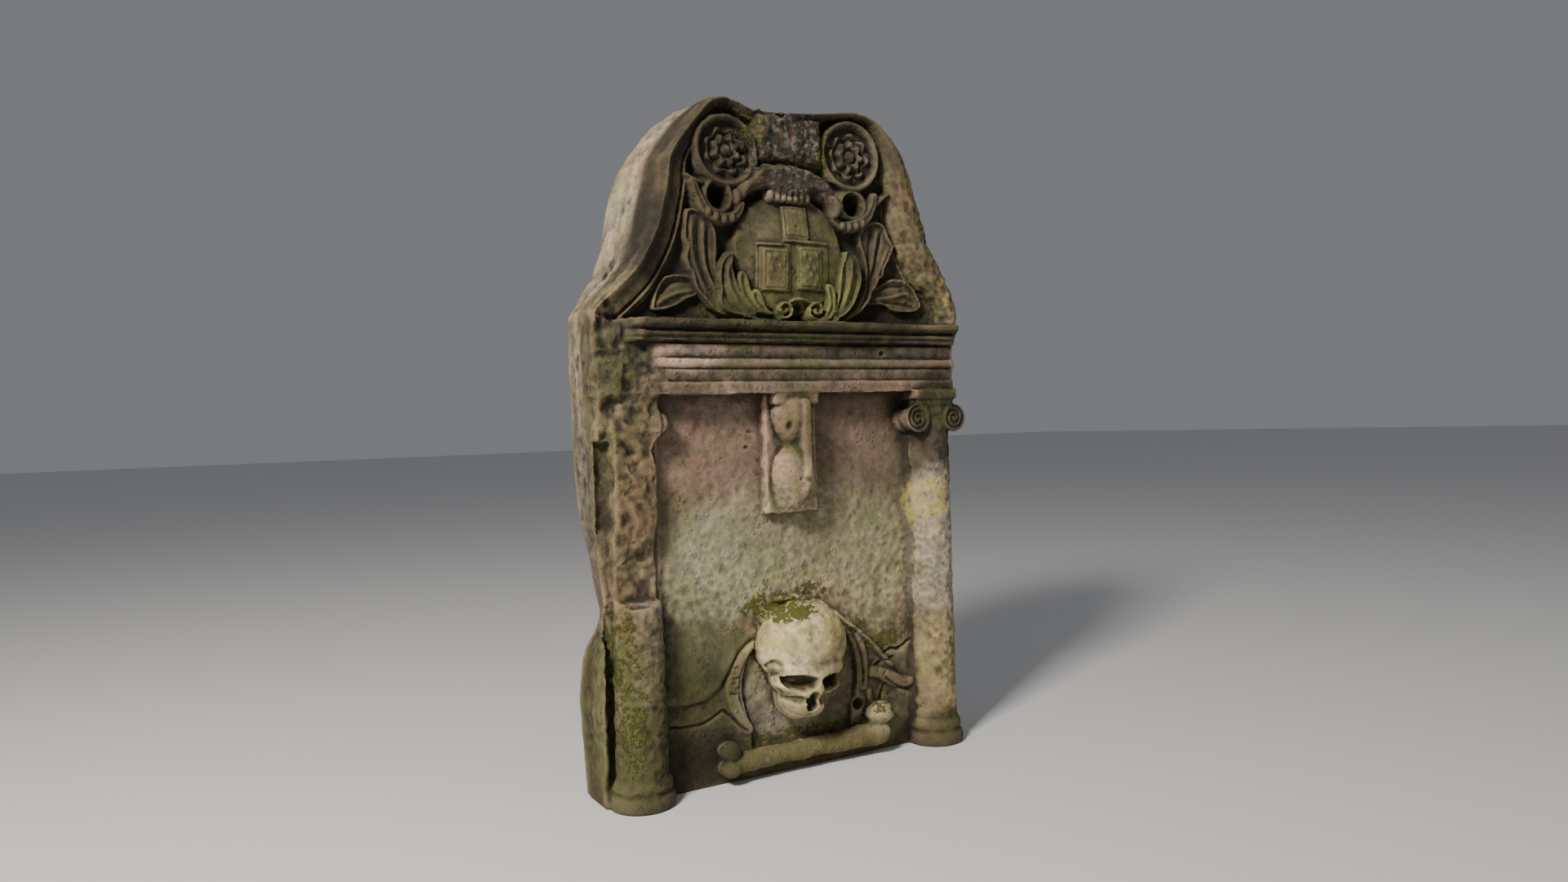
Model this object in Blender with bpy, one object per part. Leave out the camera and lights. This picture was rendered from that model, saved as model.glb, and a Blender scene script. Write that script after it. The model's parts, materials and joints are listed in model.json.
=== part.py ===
"""A carved sandstone headstone with a swan-necked top, half columns, an hourglass, a skull and a bone.

Metres, +Z up. The front faces -Y, the stone stands on Z = 0 and the slab's thickness is centred on Y = 0.
The whole monument is one block of stone, so it ends as one solid named headstone. Each carved form is
modelled by itself and joined to the slab, and hollows and breaks are cut from it.
"""

import math
import random

import bpy
import bmesh
from mathutils import Vector

# Driving sizes of the slab
TOTAL_HEIGHT = 1.217
SHOULDER_WIDTH = 0.76
SLAB_THICKNESS = 0.14
PANEL_SINKING = 0.042
FIELD_SINKING = 0.035

# Entablature
CORNICE_TOP = 0.82
ENTABLATURE_HEIGHT = 0.128
CORNICE_PROJECTION = 0.025
BEAD_PROJECTION = 0.007

# Half columns
COLUMN_SPACING = 0.628
COLUMN_SHIFT = 0.006
COLUMN_DIAMETER = 0.088
COLUMN_BASE_HEIGHT = 0.052
CAPITAL_HEIGHT = 0.075
VOLUTE_DIAMETER = 0.046
STUMP_HEIGHT = 0.342

# Hourglass
PLAQUE_WIDTH = 0.112
PLAQUE_LENGTH = 0.218
PLAQUE_THICKNESS = 0.02
BULB_DIAMETER = 0.088

# Carving of the gable
ROSETTE_DIAMETER = 0.13
CARTOUCHE_WIDTH = 0.232
CARTOUCHE_HEIGHT = 0.2
STRAP_HOLE_DIAMETER = 0.05

# Skull, ribbon and bone
SKULL_WIDTH = 0.19
RIBBON_WIDTH = 0.036
RIBBON_PROJECTION = 0.011
BONE_LENGTH = 0.33
BONE_DIAMETER = 0.042

# How far a carved form is rooted in the stone behind it
ROOT = 0.012

# Colour and finish of the stone
STONE_COLOUR = (0.36, 0.31, 0.23, 1.0)
STONE_ROUGHNESS = 0.92

# Planes that follow from the sizes
HALF_WIDTH = SHOULDER_WIDTH / 2
BACK_Y = SLAB_THICKNESS / 2
FACE_Y = -SLAB_THICKNESS / 2
PANEL_Y = FACE_Y + PANEL_SINKING
FIELD_Y = FACE_Y + FIELD_SINKING
FRIEZE_BOTTOM = CORNICE_TOP - ENTABLATURE_HEIGHT
GABLE_HEIGHT = TOTAL_HEIGHT - CORNICE_TOP
LEFT_COLUMN_X = COLUMN_SHIFT - COLUMN_SPACING / 2
RIGHT_COLUMN_X = COLUMN_SHIFT + COLUMN_SPACING / 2
COLUMN_RADIUS = COLUMN_DIAMETER / 2
COLUMN_Y = PANEL_Y - 0.23 * COLUMN_RADIUS

# The gable's carving is laid out in shares: across, of half the width; up, of the gable's height
RIGHT_OUTLINE = (
    (0.98, -0.03), (1.013, 0.04), (1.0, 0.17), (0.92, 0.275), (0.85, 0.39), (0.795, 0.53),
    (0.755, 0.67), (0.7, 0.8), (0.61, 0.905), (0.5, 0.978), (0.39, 1.0), (0.25, 0.983),
)
TOP_OUTLINE = ((0.08, 0.962), (-0.07, 0.952), (-0.18, 0.95), (-0.24, 0.975), (-0.32, 0.992))
LEFT_BACK_OUTLINE = (
    (-0.43, 0.985), (-0.55, 0.905), (-0.645, 0.805), (-0.745, 0.68), (-0.79, 0.56), (-0.82, 0.43),
    (-0.845, 0.31), (-0.885, 0.2), (-0.955, 0.11), (-1.003, 0.03),
)
LEFT_FRONT_OUTLINE = (
    (-0.395, 0.968), (-0.465, 0.9), (-0.55, 0.81), (-0.62, 0.71), (-0.65, 0.57), (-0.685, 0.43),
    (-0.735, 0.32), (-0.81, 0.21), (-0.92, 0.11), (-1.01, 0.03),
)
# The worn left flank below the gable, from the top down: height as a share of the cornice's, then how
# far the front and the back arris have lost, as shares of half the width
LEFT_FLANK = (
    (0.93, 0.0, 0.0), (0.82, 0.012, 0.0), (0.7, 0.018, 0.01), (0.58, 0.02, 0.03), (0.49, 0.02, 0.07),
    (0.39, 0.022, 0.112), (0.35, 0.02, 0.09), (0.3, 0.015, 0.03), (0.2, 0.012, 0.0), (0.08, 0.015, 0.02),
)


def clear_scene():
    for item in list(bpy.data.objects):
        bpy.data.objects.remove(item, do_unlink=True)


def stone_material():
    material = bpy.data.materials.new("sandstone")
    material.use_nodes = True
    shader = material.node_tree.nodes["Principled BSDF"]
    shader.inputs["Base Color"].default_value = STONE_COLOUR
    shader.inputs["Roughness"].default_value = STONE_ROUGHNESS
    shader.inputs["Metallic"].default_value = 0.0
    return material


def gable(across, up):
    """A place in the gable as (x, z) in metres."""
    return (across * HALF_WIDTH, CORNICE_TOP + up * GABLE_HEIGHT)


def smooth_path(points, per_span=3):
    """Points along a smooth curve that passes through the given ones."""
    ends = [points[0]] + list(points) + [points[-1]]
    found = []
    for i in range(1, len(ends) - 2):
        a, b, c, d = (Vector(p) for p in ends[i - 1:i + 3])
        for step in range(per_span):
            t = step / per_span
            found.append(0.5 * (2 * b + (c - a) * t + (2 * a - 5 * b + 4 * c - d) * t ** 2
                                + (3 * b - a - 3 * c + d) * t ** 3))
    found.append(Vector(points[-1]))
    return found


def add_object(name, mesh_maker, group):
    """A closed mesh, filled by mesh_maker, as an object of one working group."""
    shape = bmesh.new()
    mesh_maker(shape)
    bmesh.ops.remove_doubles(shape, verts=shape.verts, dist=1e-6)
    bmesh.ops.recalc_face_normals(shape, faces=shape.faces)
    if shape.calc_volume(signed=True) < 0:
        bmesh.ops.reverse_faces(shape, faces=shape.faces)
    mesh = bpy.data.meshes.new(name)
    shape.to_mesh(mesh)
    shape.free()
    made = bpy.data.objects.new(name, mesh)
    group.objects.link(made)
    return made


def loft(shape, rings):
    """Joins rings of equal length side to side and closes both ends."""
    rows = [[shape.verts.new(p) for p in ring] for ring in rings]
    count = len(rows[0])
    for lower, upper in zip(rows, rows[1:]):
        for i in range(count):
            j = (i + 1) % count
            shape.faces.new((lower[i], lower[j], upper[j], upper[i]))
    shape.faces.new(list(reversed(rows[0])))
    shape.faces.new(rows[-1])


def turned(profile, sides, centre, axis="Z"):
    """Rings of a round shape: profile holds (radius, place along the axis) pairs."""
    rings = []
    for radius, along in profile:
        ring = []
        for k in range(sides):
            angle = 2 * math.pi * k / sides
            a, b = radius * math.cos(angle), radius * math.sin(angle)
            local = (a, b, along) if axis == "Z" else (a, along, b)
            ring.append(Vector(centre) + Vector(local))
        rings.append(ring)
    return rings


def add_turned(name, profile, sides, centre, group, axis="Z"):
    return add_object(name, lambda s: loft(s, turned(profile, sides, centre, axis)), group)


def add_box(name, low, high, group):
    def fill(shape):
        rings = [[(low[0], low[1], z), (high[0], low[1], z), (high[0], high[1], z), (low[0], high[1], z)]
                 for z in (low[2], high[2])]
        loft(shape, rings)
    return add_object(name, fill, group)


def add_egg(name, centre, radii, group, sides=14, rows=8, turn=0.0):
    """An ellipsoid; turn tips it in the plane of the stone's face."""
    def fill(shape):
        bmesh.ops.create_uvsphere(shape, u_segments=sides, v_segments=rows, radius=1.0)
        cos, sin = math.cos(turn), math.sin(turn)
        for vert in shape.verts:
            x, y, z = (vert.co[i] * radii[i] for i in range(3))
            vert.co = Vector(centre) + Vector((x * cos - z * sin, y, x * sin + z * cos))
    return add_object(name, fill, group)


def add_band(name, path, width, front_y, back_y, group, per_span=2, taper=0.0, chamfered=True):
    """A raised strip along a path of (x, z) places, with chamfered or simply sloping edges."""
    def fill(shape):
        points = smooth_path([(x, z, 0) for x, z in path], per_span)
        rings = []
        for i, point in enumerate(points):
            ahead = points[min(i + 1, len(points) - 1)] - points[max(i - 1, 0)]
            side = Vector((-ahead.y, ahead.x)).normalized()
            half = width / 2 * (1 - taper * abs(2 * i / (len(points) - 1) - 1))
            shoulder_y = front_y + 0.35 * min(abs(back_y - front_y), 0.4 * width)
            section = ((-half, back_y), (-0.62 * half, front_y), (0.62 * half, front_y), (half, back_y))
            if chamfered:
                left, right = (-half, shoulder_y), (half, shoulder_y)
                section = ((-half, back_y), left, *section[1:3], right, (half, back_y))
            rings.append([(point.x + side.x * s, y, point.y + side.y * s) for s, y in section])
        loft(shape, rings)
    return add_object(name, fill, group)


def add_leaf(name, spine, half_width, lift, base_y, group, lobes=3, lobe_depth=0.28, per_span=3):
    """A leaf along a spine of (x, z) places: lobed edges, a raised midrib and a curled tip."""
    def fill(shape):
        points = smooth_path([(x, z, 0) for x, z in spine], per_span)
        last = len(points) - 1
        rings = []
        for i, point in enumerate(points):
            t = i / last
            ahead = points[min(i + 1, last)] - points[max(i - 1, 0)]
            side = Vector((-ahead.y, ahead.x)).normalized()
            swell = 0.16 + 0.84 * math.sin(math.pi * min(1.0, 0.18 + 0.84 * t)) ** 0.75
            lobe = 1 - lobe_depth * abs(math.sin(math.pi * lobes * t)) * (t < 0.97)
            half = half_width * max(0.12, swell * lobe)
            rise = lift * (0.7 + 0.3 * t)
            section = ((-0.9 * half, ROOT), (-half, -0.45 * rise), (0.0, -rise), (half, -0.45 * rise),
                       (0.9 * half, ROOT))
            rings.append([(point.x + side.x * s, base_y + y, point.y + side.y * s) for s, y in section])
        loft(shape, rings)
    return add_object(name, fill, group)


def add_spiral(name, centre, radius, turns, front_y, back_y, group, hand=1, start=0.0):
    """The raised coil on the face of a volute, from its eye outwards."""
    steps = int(9 * turns)
    path = []
    for i in range(steps + 1):
        t = i / steps
        angle = start + hand * 2 * math.pi * turns * t
        reach = radius * (0.16 + 0.7 * t)
        path.append((centre[0] + reach * math.cos(angle), centre[1] + reach * math.sin(angle)))
    return add_band(name, path, 0.26 * radius, front_y, back_y, group, per_span=1, chamfered=False)


def add_rough_block(name, low, high, cells, jitter, seed, group, rough_side=-1):
    """A block with a broken face: rough_side is -1 for a broken front, 1 for a broken back."""
    dice = random.Random(seed)
    across, up = cells

    def fill(shape):
        rough_y, plain_y = (low[1], high[1]) if rough_side < 0 else (high[1], low[1])
        grid = []
        for j in range(up + 1):
            row = []
            for i in range(across + 1):
                edge_x = 0.0 if 0 < i < across else dice.uniform(-jitter, jitter)
                edge_z = 0.0 if 0 < j < up else dice.uniform(-jitter, jitter)
                row.append(shape.verts.new((
                    low[0] + (high[0] - low[0]) * i / across + edge_x,
                    rough_y + dice.uniform(-jitter, jitter),
                    low[2] + (high[2] - low[2]) * j / up + edge_z,
                )))
            grid.append(row)
        for j in range(up):
            for i in range(across):
                a, b, c, d = grid[j][i], grid[j][i + 1], grid[j + 1][i + 1], grid[j + 1][i]
                shape.faces.new((a, b, c))
                shape.faces.new((a, c, d))
        right_edge = [row[-1] for row in grid[:-1]]
        left_edge = [row[0] for row in grid[:0:-1]]
        rim = grid[0][:-1] + right_edge + grid[-1][:0:-1] + left_edge
        back = [shape.verts.new((v.co.x, plain_y, v.co.z)) for v in rim]
        for i in range(len(rim)):
            j = (i + 1) % len(rim)
            shape.faces.new((rim[i], back[i], back[j], rim[j]))
        shape.faces.new(back)
    return add_object(name, fill, group)


def add_chip(name, centre, size, seed, group):
    """A broken-out pocket: a coarse ball with its corners shaken."""
    dice = random.Random(seed)

    def fill(shape):
        bmesh.ops.create_icosphere(shape, subdivisions=1, radius=1.0)
        for vert in shape.verts:
            reach = dice.uniform(0.8, 1.15)
            vert.co = Vector(centre) + Vector([vert.co[i] * size[i] * reach for i in range(3)])
    return add_object(name, fill, group)


def slab_outline():
    """The outline's places on the front and on the back face, as two lists of (x, z)."""
    front, back = [], []
    for across in (-0.97, -0.5, 0.0, 0.5, 0.97):
        front.append((across * HALF_WIDTH, -ROOT))
        back.append((across * HALF_WIDTH, -ROOT))
    for up, inset in ((0.1, -0.006), (0.35, -0.012), (0.6, -0.01), (0.77, 0.0), (0.82, 0.035), (0.94, 0.037)):
        place = ((1 - inset) * HALF_WIDTH, up * CORNICE_TOP)
        front.append(place)
        back.append(place)
    for across, up in RIGHT_OUTLINE + TOP_OUTLINE:
        front.append(gable(across, up))
        back.append(gable(across, up))
    for ahead, behind in zip(LEFT_FRONT_OUTLINE, LEFT_BACK_OUTLINE):
        front.append(gable(*ahead))
        back.append(gable(*behind))
    for up, lost_front, lost_back in LEFT_FLANK:
        front.append(((lost_front - 1) * HALF_WIDTH, up * CORNICE_TOP))
        back.append(((lost_back - 1) * HALF_WIDTH, up * CORNICE_TOP))
    return front, back


def make_slab(group):
    """The block: front and back outlines with two hewn rings between them."""
    front, back = slab_outline()
    dice = random.Random(11)
    hewn = 0.003

    def fill(shape):
        rings = []
        for share in (0.0, 0.12, 0.5, 0.88, 1.0):
            rounding = 0.006 if share in (0.0, 1.0) else 0.0
            ring = []
            for (fx, fz), (bx, bz) in zip(front, back):
                x, z = fx + (bx - fx) * share, fz + (bz - fz) * share
                if z > 0.05:
                    centre = Vector((0.0, 0.55 * TOTAL_HEIGHT))
                    inward = (centre - Vector((x, z))).normalized() * rounding
                    x += inward.x + dice.uniform(-hewn, hewn) * (0 < share < 1)
                    z += inward.y
                ring.append((x, FACE_Y + share * SLAB_THICKNESS, z))
            rings.append(ring)
        loft(shape, rings)
    return add_object("slab", fill, group)


def cut_panel(group):
    """The sunken face below the entablature, which leaves the half columns standing clear."""
    reach = SHOULDER_WIDTH
    low = (-reach, FACE_Y - SLAB_THICKNESS, -4 * ROOT)
    add_box("panel_sinking", low, (reach, PANEL_Y, FRIEZE_BOTTOM), group)


def cut_gable_field(group):
    """The sunken field behind the gable's carving, with a hollow moulding along its edge."""
    rim = (
        (0.965, 0.0), (0.9, 0.09), (0.8, 0.19), (0.7, 0.33), (0.63, 0.5), (0.585, 0.68), (0.56, 0.8),
        (0.47, 0.91), (0.35, 0.945), (0.22, 0.93), (-0.22, 0.92), (-0.35, 0.925), (-0.45, 0.87),
        (-0.53, 0.77), (-0.59, 0.66), (-0.62, 0.53), (-0.665, 0.39), (-0.745, 0.25), (-0.86, 0.12),
        (-0.965, 0.0),
    )
    field = (
        (0.91, 0.0), (0.84, 0.06), (0.755, 0.15), (0.66, 0.3), (0.595, 0.47), (0.555, 0.66), (0.53, 0.77),
        (0.45, 0.87), (0.35, 0.9), (0.22, 0.9), (-0.22, 0.88), (-0.34, 0.88), (-0.43, 0.83),
        (-0.47, 0.74), (-0.505, 0.64), (-0.535, 0.5), (-0.585, 0.35), (-0.66, 0.22), (-0.77, 0.09),
        (-0.87, 0.0),
    )
    depths = ((0.0, -0.5), (0.0, 0.1), (0.2, 0.45), (0.5, 0.68), (0.85, 0.74), (0.9, 1.0))

    def fill(shape):
        rings = []
        for share, depth in depths:
            ring = []
            for outer, inner in zip(rim, field):
                place = [a + (b - a) * share for a, b in zip(outer, inner)]
                x, z = gable(*place)
                ring.append((x, FACE_Y + depth * FIELD_SINKING, z))
            rings.append(ring)
        loft(shape, rings)
    add_object("field_sinking", fill, group)


def make_entablature(group):
    """Cornice, bead and fascias as one run of moulding, cut square at the right flank."""
    p, b, h = CORNICE_PROJECTION, BEAD_PROJECTION, ENTABLATURE_HEIGHT
    profile = (
        (-ROOT, 1.0), (p, 1.0), (p, 0.915), (0.8 * p, 0.9), (0.5 * p, 0.83), (0.36 * p, 0.76),
        (0.36 * p, 0.7), (0.1 * b, 0.695), (0.1 * b, 0.475), (0.7 * b, 0.465), (b, 0.41),
        (0.7 * b, 0.355), (0.1 * b, 0.345),
        (0.05 * b, 0.17), (0.55 * b, 0.16), (0.45 * b, 0.0), (-ROOT, 0.0),
    )
    ends = (-0.8 * HALF_WIDTH, 0.958 * HALF_WIDTH)

    def fill(shape):
        rings = []
        for x in ends:
            rings.append([(x, FACE_Y - out, FRIEZE_BOTTOM + up * h) for out, up in profile])
        loft(shape, rings)
    add_object("entablature", fill, group)


def shaft_profile(top):
    """Radius and height pairs of the base and the shaft, up to the given height."""
    base = COLUMN_BASE_HEIGHT
    r = COLUMN_RADIUS
    return [
        (1.26 * r, -ROOT), (1.28 * r, 0.2 * base), (1.22 * r, 0.44 * base), (1.12 * r, 0.52 * base),
        (1.18 * r, 0.7 * base), (1.1 * r, 0.92 * base), (r, base), (r, 1.6 * base), (0.98 * r, top / 2),
        (0.94 * r, top),
    ]


def make_right_column(group):
    top = FRIEZE_BOTTOM - 0.5 * CAPITAL_HEIGHT
    add_turned("right_column", shaft_profile(top), 14, (RIGHT_COLUMN_X, COLUMN_Y, 0), group)


def make_right_capital(group):
    """Abacus, necking and two volutes whose rolls run back to the panel."""
    r = COLUMN_RADIUS
    front = COLUMN_Y - r
    roll = VOLUTE_DIAMETER / 2
    eye_z = FRIEZE_BOTTOM - 0.7 * CAPITAL_HEIGHT
    back = PANEL_Y + ROOT
    middle = RIGHT_COLUMN_X - 0.16 * r
    add_box("abacus", (middle - 1.25 * r, front - 0.12 * r, FRIEZE_BOTTOM - 0.2 * CAPITAL_HEIGHT),
            (middle + 1.08 * r, back, FRIEZE_BOTTOM + 0.6 * ROOT), group)
    add_box("abacus_neck", (middle - 1.0 * r, front + 0.05 * r, eye_z),
            (middle + 1.0 * r, back + 0.001, FRIEZE_BOTTOM - 0.1 * CAPITAL_HEIGHT), group)
    for side, name in ((-1, "left_volute"), (1, "right_volute")):
        x = middle + side * r
        waist = (0.78 * roll, (front + back) / 2)
        profile = ((1.06 * roll, back), waist, (roll, front + 0.08 * r), (roll, front))
        add_turned(name, profile, 16, (x, 0, eye_z), group, axis="Y")
        add_spiral(name + "_coil", (x, eye_z), roll, 1.6, front - 0.06 * r, front + 0.1 * r, group, hand=side,
                   start=math.pi / 2)


def make_left_column(group):
    """What is left of the left column: its base and stump, the scar above it and part of the capital."""
    r = COLUMN_RADIUS
    add_turned("left_stump", shaft_profile(STUMP_HEIGHT), 14, (LEFT_COLUMN_X, COLUMN_Y, 0), group)
    front = PANEL_Y - 0.72 * PANEL_SINKING
    low = (LEFT_COLUMN_X - 0.95 * r, front, 0.9 * STUMP_HEIGHT)
    high = (LEFT_COLUMN_X + 0.78 * r, PANEL_Y + ROOT, FRIEZE_BOTTOM - 0.5 * CAPITAL_HEIGHT)
    add_rough_block("column_scar", low, high, (3, 12), 0.0045, 3, group)
    low = (-0.985 * HALF_WIDTH, FACE_Y + 0.3 * PANEL_SINKING, FRIEZE_BOTTOM - 0.95 * CAPITAL_HEIGHT)
    high = (LEFT_COLUMN_X + 0.9 * r, PANEL_Y + ROOT, FRIEZE_BOTTOM + ROOT)
    add_rough_block("capital_scar", low, high, (5, 4), 0.005, 4, group)
    roll = 0.48 * VOLUTE_DIAMETER
    eye = (LEFT_COLUMN_X + 0.97 * r, 0, FRIEZE_BOTTOM - 0.63 * CAPITAL_HEIGHT)
    shoulder, face = FACE_Y + 0.25 * PANEL_SINKING, FACE_Y + 0.1 * PANEL_SINKING
    profile = ((roll, PANEL_Y + ROOT), (roll, shoulder), (0.7 * roll, face))
    add_turned("capital_remnant", profile, 14, eye, group, axis="Y")


def make_hourglass(group):
    """Plaque, top block, two bulbs and the post that stands before the upper one."""
    half = PLAQUE_WIDTH / 2
    bottom = FRIEZE_BOTTOM - PLAQUE_LENGTH
    front = PANEL_Y - PLAQUE_THICKNESS
    r = BULB_DIAMETER / 2
    add_box("plaque", (-half, front, bottom), (half, PANEL_Y + ROOT, FRIEZE_BOTTOM + ROOT), group)
    top_low = (-0.8 * half, FACE_Y - 0.1 * PLAQUE_THICKNESS, FRIEZE_BOTTOM - 0.09 * PLAQUE_LENGTH)
    add_box("hourglass_top", top_low, (0.88 * half, front + ROOT, FRIEZE_BOTTOM + ROOT), group)
    shares = (
        (0.7, 0.03), (0.95, 0.14), (1.0, 0.28), (0.88, 0.41), (0.6, 0.51), (0.35, 0.575), (0.5, 0.65),
        (0.8, 0.73), (1.0, 0.84), (0.8, 0.95), (0.6, 0.975),
    )
    profile = [(share * r, bottom + up * PLAQUE_LENGTH) for share, up in shares]
    add_turned("bulbs", profile, 12, (0, front + 0.12 * r, 0), group)
    add_box("post", (0.02 * half, front - 1.02 * r, bottom + 0.28 * PLAQUE_LENGTH),
            (0.34 * half, front + 0.5 * r, bottom + 0.95 * PLAQUE_LENGTH), group)


def make_rosettes(group):
    """The two scroll ends: a ring, six petals and a boss each, the left one a little lower."""
    big = ROSETTE_DIAMETER / 2
    front = FACE_Y + 0.12 * FIELD_SINKING
    scroll_ends = (("left_rosette", -0.322, 0.752, 0.98), ("right_rosette", 0.368, 0.79, 1.02))
    for name, across, up, scale in scroll_ends:
        x, z = gable(across, up)
        r = big * scale
        ring = (
            (r, FIELD_Y + ROOT), (r, front + 0.004), (0.97 * r, front), (0.86 * r, front),
            (0.8 * r, front + 0.006), (0.79 * r, front + 0.009), (0.05 * r, front + 0.009),
        )
        add_turned(name, ring, 20, (x, 0, z), group, axis="Y")
        for k in range(6):
            angle = math.pi / 2 + k * math.pi / 3
            centre = (x + 0.44 * r * math.cos(angle), front + 0.008, z + 0.44 * r * math.sin(angle))
            add_egg(f"{name}_petal_{k + 1}", centre, (0.25 * r, 0.006, 0.22 * r), group, 6, 4, angle)
        add_egg(f"{name}_boss", (x, front + 0.006, z), (0.19 * r, 0.009, 0.19 * r), group, 8, 4)


def make_gable_block(group):
    """The rough, crusted block between the rosettes."""
    x0, z0 = gable(-0.16, 0.7)
    x1, z1 = gable(0.2, 0.945)
    low = (x0, FACE_Y - 0.001, z0)
    high = (x1, FIELD_Y + ROOT, z1)
    add_rough_block("crusted_block", low, high, (6, 5), 0.004, 6, group)


def make_crest(group):
    """The shell over the cartouche and the arms that fall from it to the straps."""
    front = FACE_Y - 0.1 * FIELD_SINKING
    arms = [gable(*p) for p in ((-0.24, 0.52), (-0.2, 0.6), (-0.08, 0.655), (0.03, 0.67), (0.15, 0.65),
                                (0.25, 0.57), (0.31, 0.46))]
    add_band("crest_arms", arms, 0.1 * GABLE_HEIGHT, front, FIELD_Y + ROOT, group)
    lobes = 5
    for k in range(lobes):
        share = k / (lobes - 1) - 0.5
        tip = gable(0.03 + 0.25 * share, 0.525 + 0.05 * abs(share))
        spine = [gable(0.03 + 0.16 * share, 0.69), gable(0.03 + 0.22 * share, 0.6), tip]
        add_leaf(f"shell_lobe_{k + 1}", spine, 0.034 * GABLE_HEIGHT, 0.2 * FIELD_SINKING, front + 0.002,
                 group, lobes=1, lobe_depth=0.0, per_span=2)


def make_straps(group, hollows):
    """The scrolled straps beside the cartouche, each round a deep hole."""
    hole = STRAP_HOLE_DIAMETER / 2
    front = FACE_Y + 0.12 * FIELD_SINKING
    for name, side, across in (("left_strap", -1, 0.352), ("right_strap", 1, 0.392)):
        x, z = gable(side * across, 0.535)
        ring = ((1.75 * hole, FIELD_Y + ROOT), (1.75 * hole, front + 0.008), (1.5 * hole, front + 0.002),
                (0.9 * hole, front + 0.002))
        add_turned(name + "_disc", ring, 20, (x, 0, z), group, axis="Y")
        foot_y = FIELD_Y + 0.4 * FIELD_SINKING
        cut = ((hole, FACE_Y - SLAB_THICKNESS), (hole, FIELD_Y - 0.2 * FIELD_SINKING), (0.8 * hole, foot_y))
        add_turned(name + "_hole", cut, 16, (x, 0, z), hollows, axis="Y")
        route = [gable(side * a, b) for a, b in ((0.545, 0.63), (0.5, 0.55), (0.5, 0.47), (0.42, 0.42),
                                                 (0.33, 0.425), (0.255, 0.475), (0.235, 0.54))]
        add_band(name, route, 0.058 * GABLE_HEIGHT, front - 0.006, FIELD_Y + ROOT, group, taper=0.35,
                 chamfered=False)
        for k, share in enumerate((0.45, 0.4, 0.35)):
            egg_x, egg_z = gable(side * share, 0.413 + 0.012 * abs(k - 1))
            place = (egg_x, front - 0.006, egg_z)
            add_egg(f"{name}_egg_{k + 1}", place, (0.0075, 0.007, 0.0085), group, 6, 4)


def make_cartouche(group):
    """The swelling field with a castle in low relief."""
    x, z = gable(0.01, 0.315)
    half_w, half_h = CARTOUCHE_WIDTH / 2, CARTOUCHE_HEIGHT / 2
    swell = (
        (1.0, FIELD_Y + ROOT), (1.0, FACE_Y + 0.3 * FIELD_SINKING), (0.94, FACE_Y + 0.12 * FIELD_SINKING),
        (0.7, FACE_Y - 0.02 * FIELD_SINKING), (0.35, FACE_Y - 0.08 * FIELD_SINKING),
        (0.04, FACE_Y - 0.1 * FIELD_SINKING),
    )
    sides = 22

    def fill(shape):
        rings = []
        for share, y in swell:
            ring = []
            for k in range(sides):
                angle = 2 * math.pi * k / sides
                ring.append((x + share * half_w * math.cos(angle), y, z + share * half_h * math.sin(angle)))
            rings.append(ring)
        loft(shape, rings)
    add_object("cartouche", fill, group)
    front = FACE_Y - 0.23 * FIELD_SINKING
    deep = FACE_Y + 0.15 * FIELD_SINKING
    plates = (
        ("tower", -0.16, 0.12, 0.3, 0.74), ("gate_lintel", -0.61, 0.02, 0.68, 0.1),
        ("left_turret", -0.54, -0.84, -0.1, -0.08), ("right_turret", 0.08, -0.8, 0.53, -0.06),
        ("left_jamb", -0.61, -0.3, -0.56, 0.06), ("right_jamb", 0.62, -0.62, 0.68, 0.06),
    )
    for name, x0, z0, x1, z1 in plates:
        low = (x + x0 * half_w, front, z + z0 * half_h)
        high = (x + x1 * half_w, deep, z + z1 * half_h)
        add_box("castle_" + name, low, high, group)
    for k, share in enumerate((-0.1, 0.07, 0.24)):
        low = (x + (share - 0.05) * half_w, front, z + 0.7 * half_h)
        high = (x + (share + 0.05) * half_w, deep, z + 0.82 * half_h)
        add_box(f"castle_merlon_{k + 1}", low, high, group)


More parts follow.
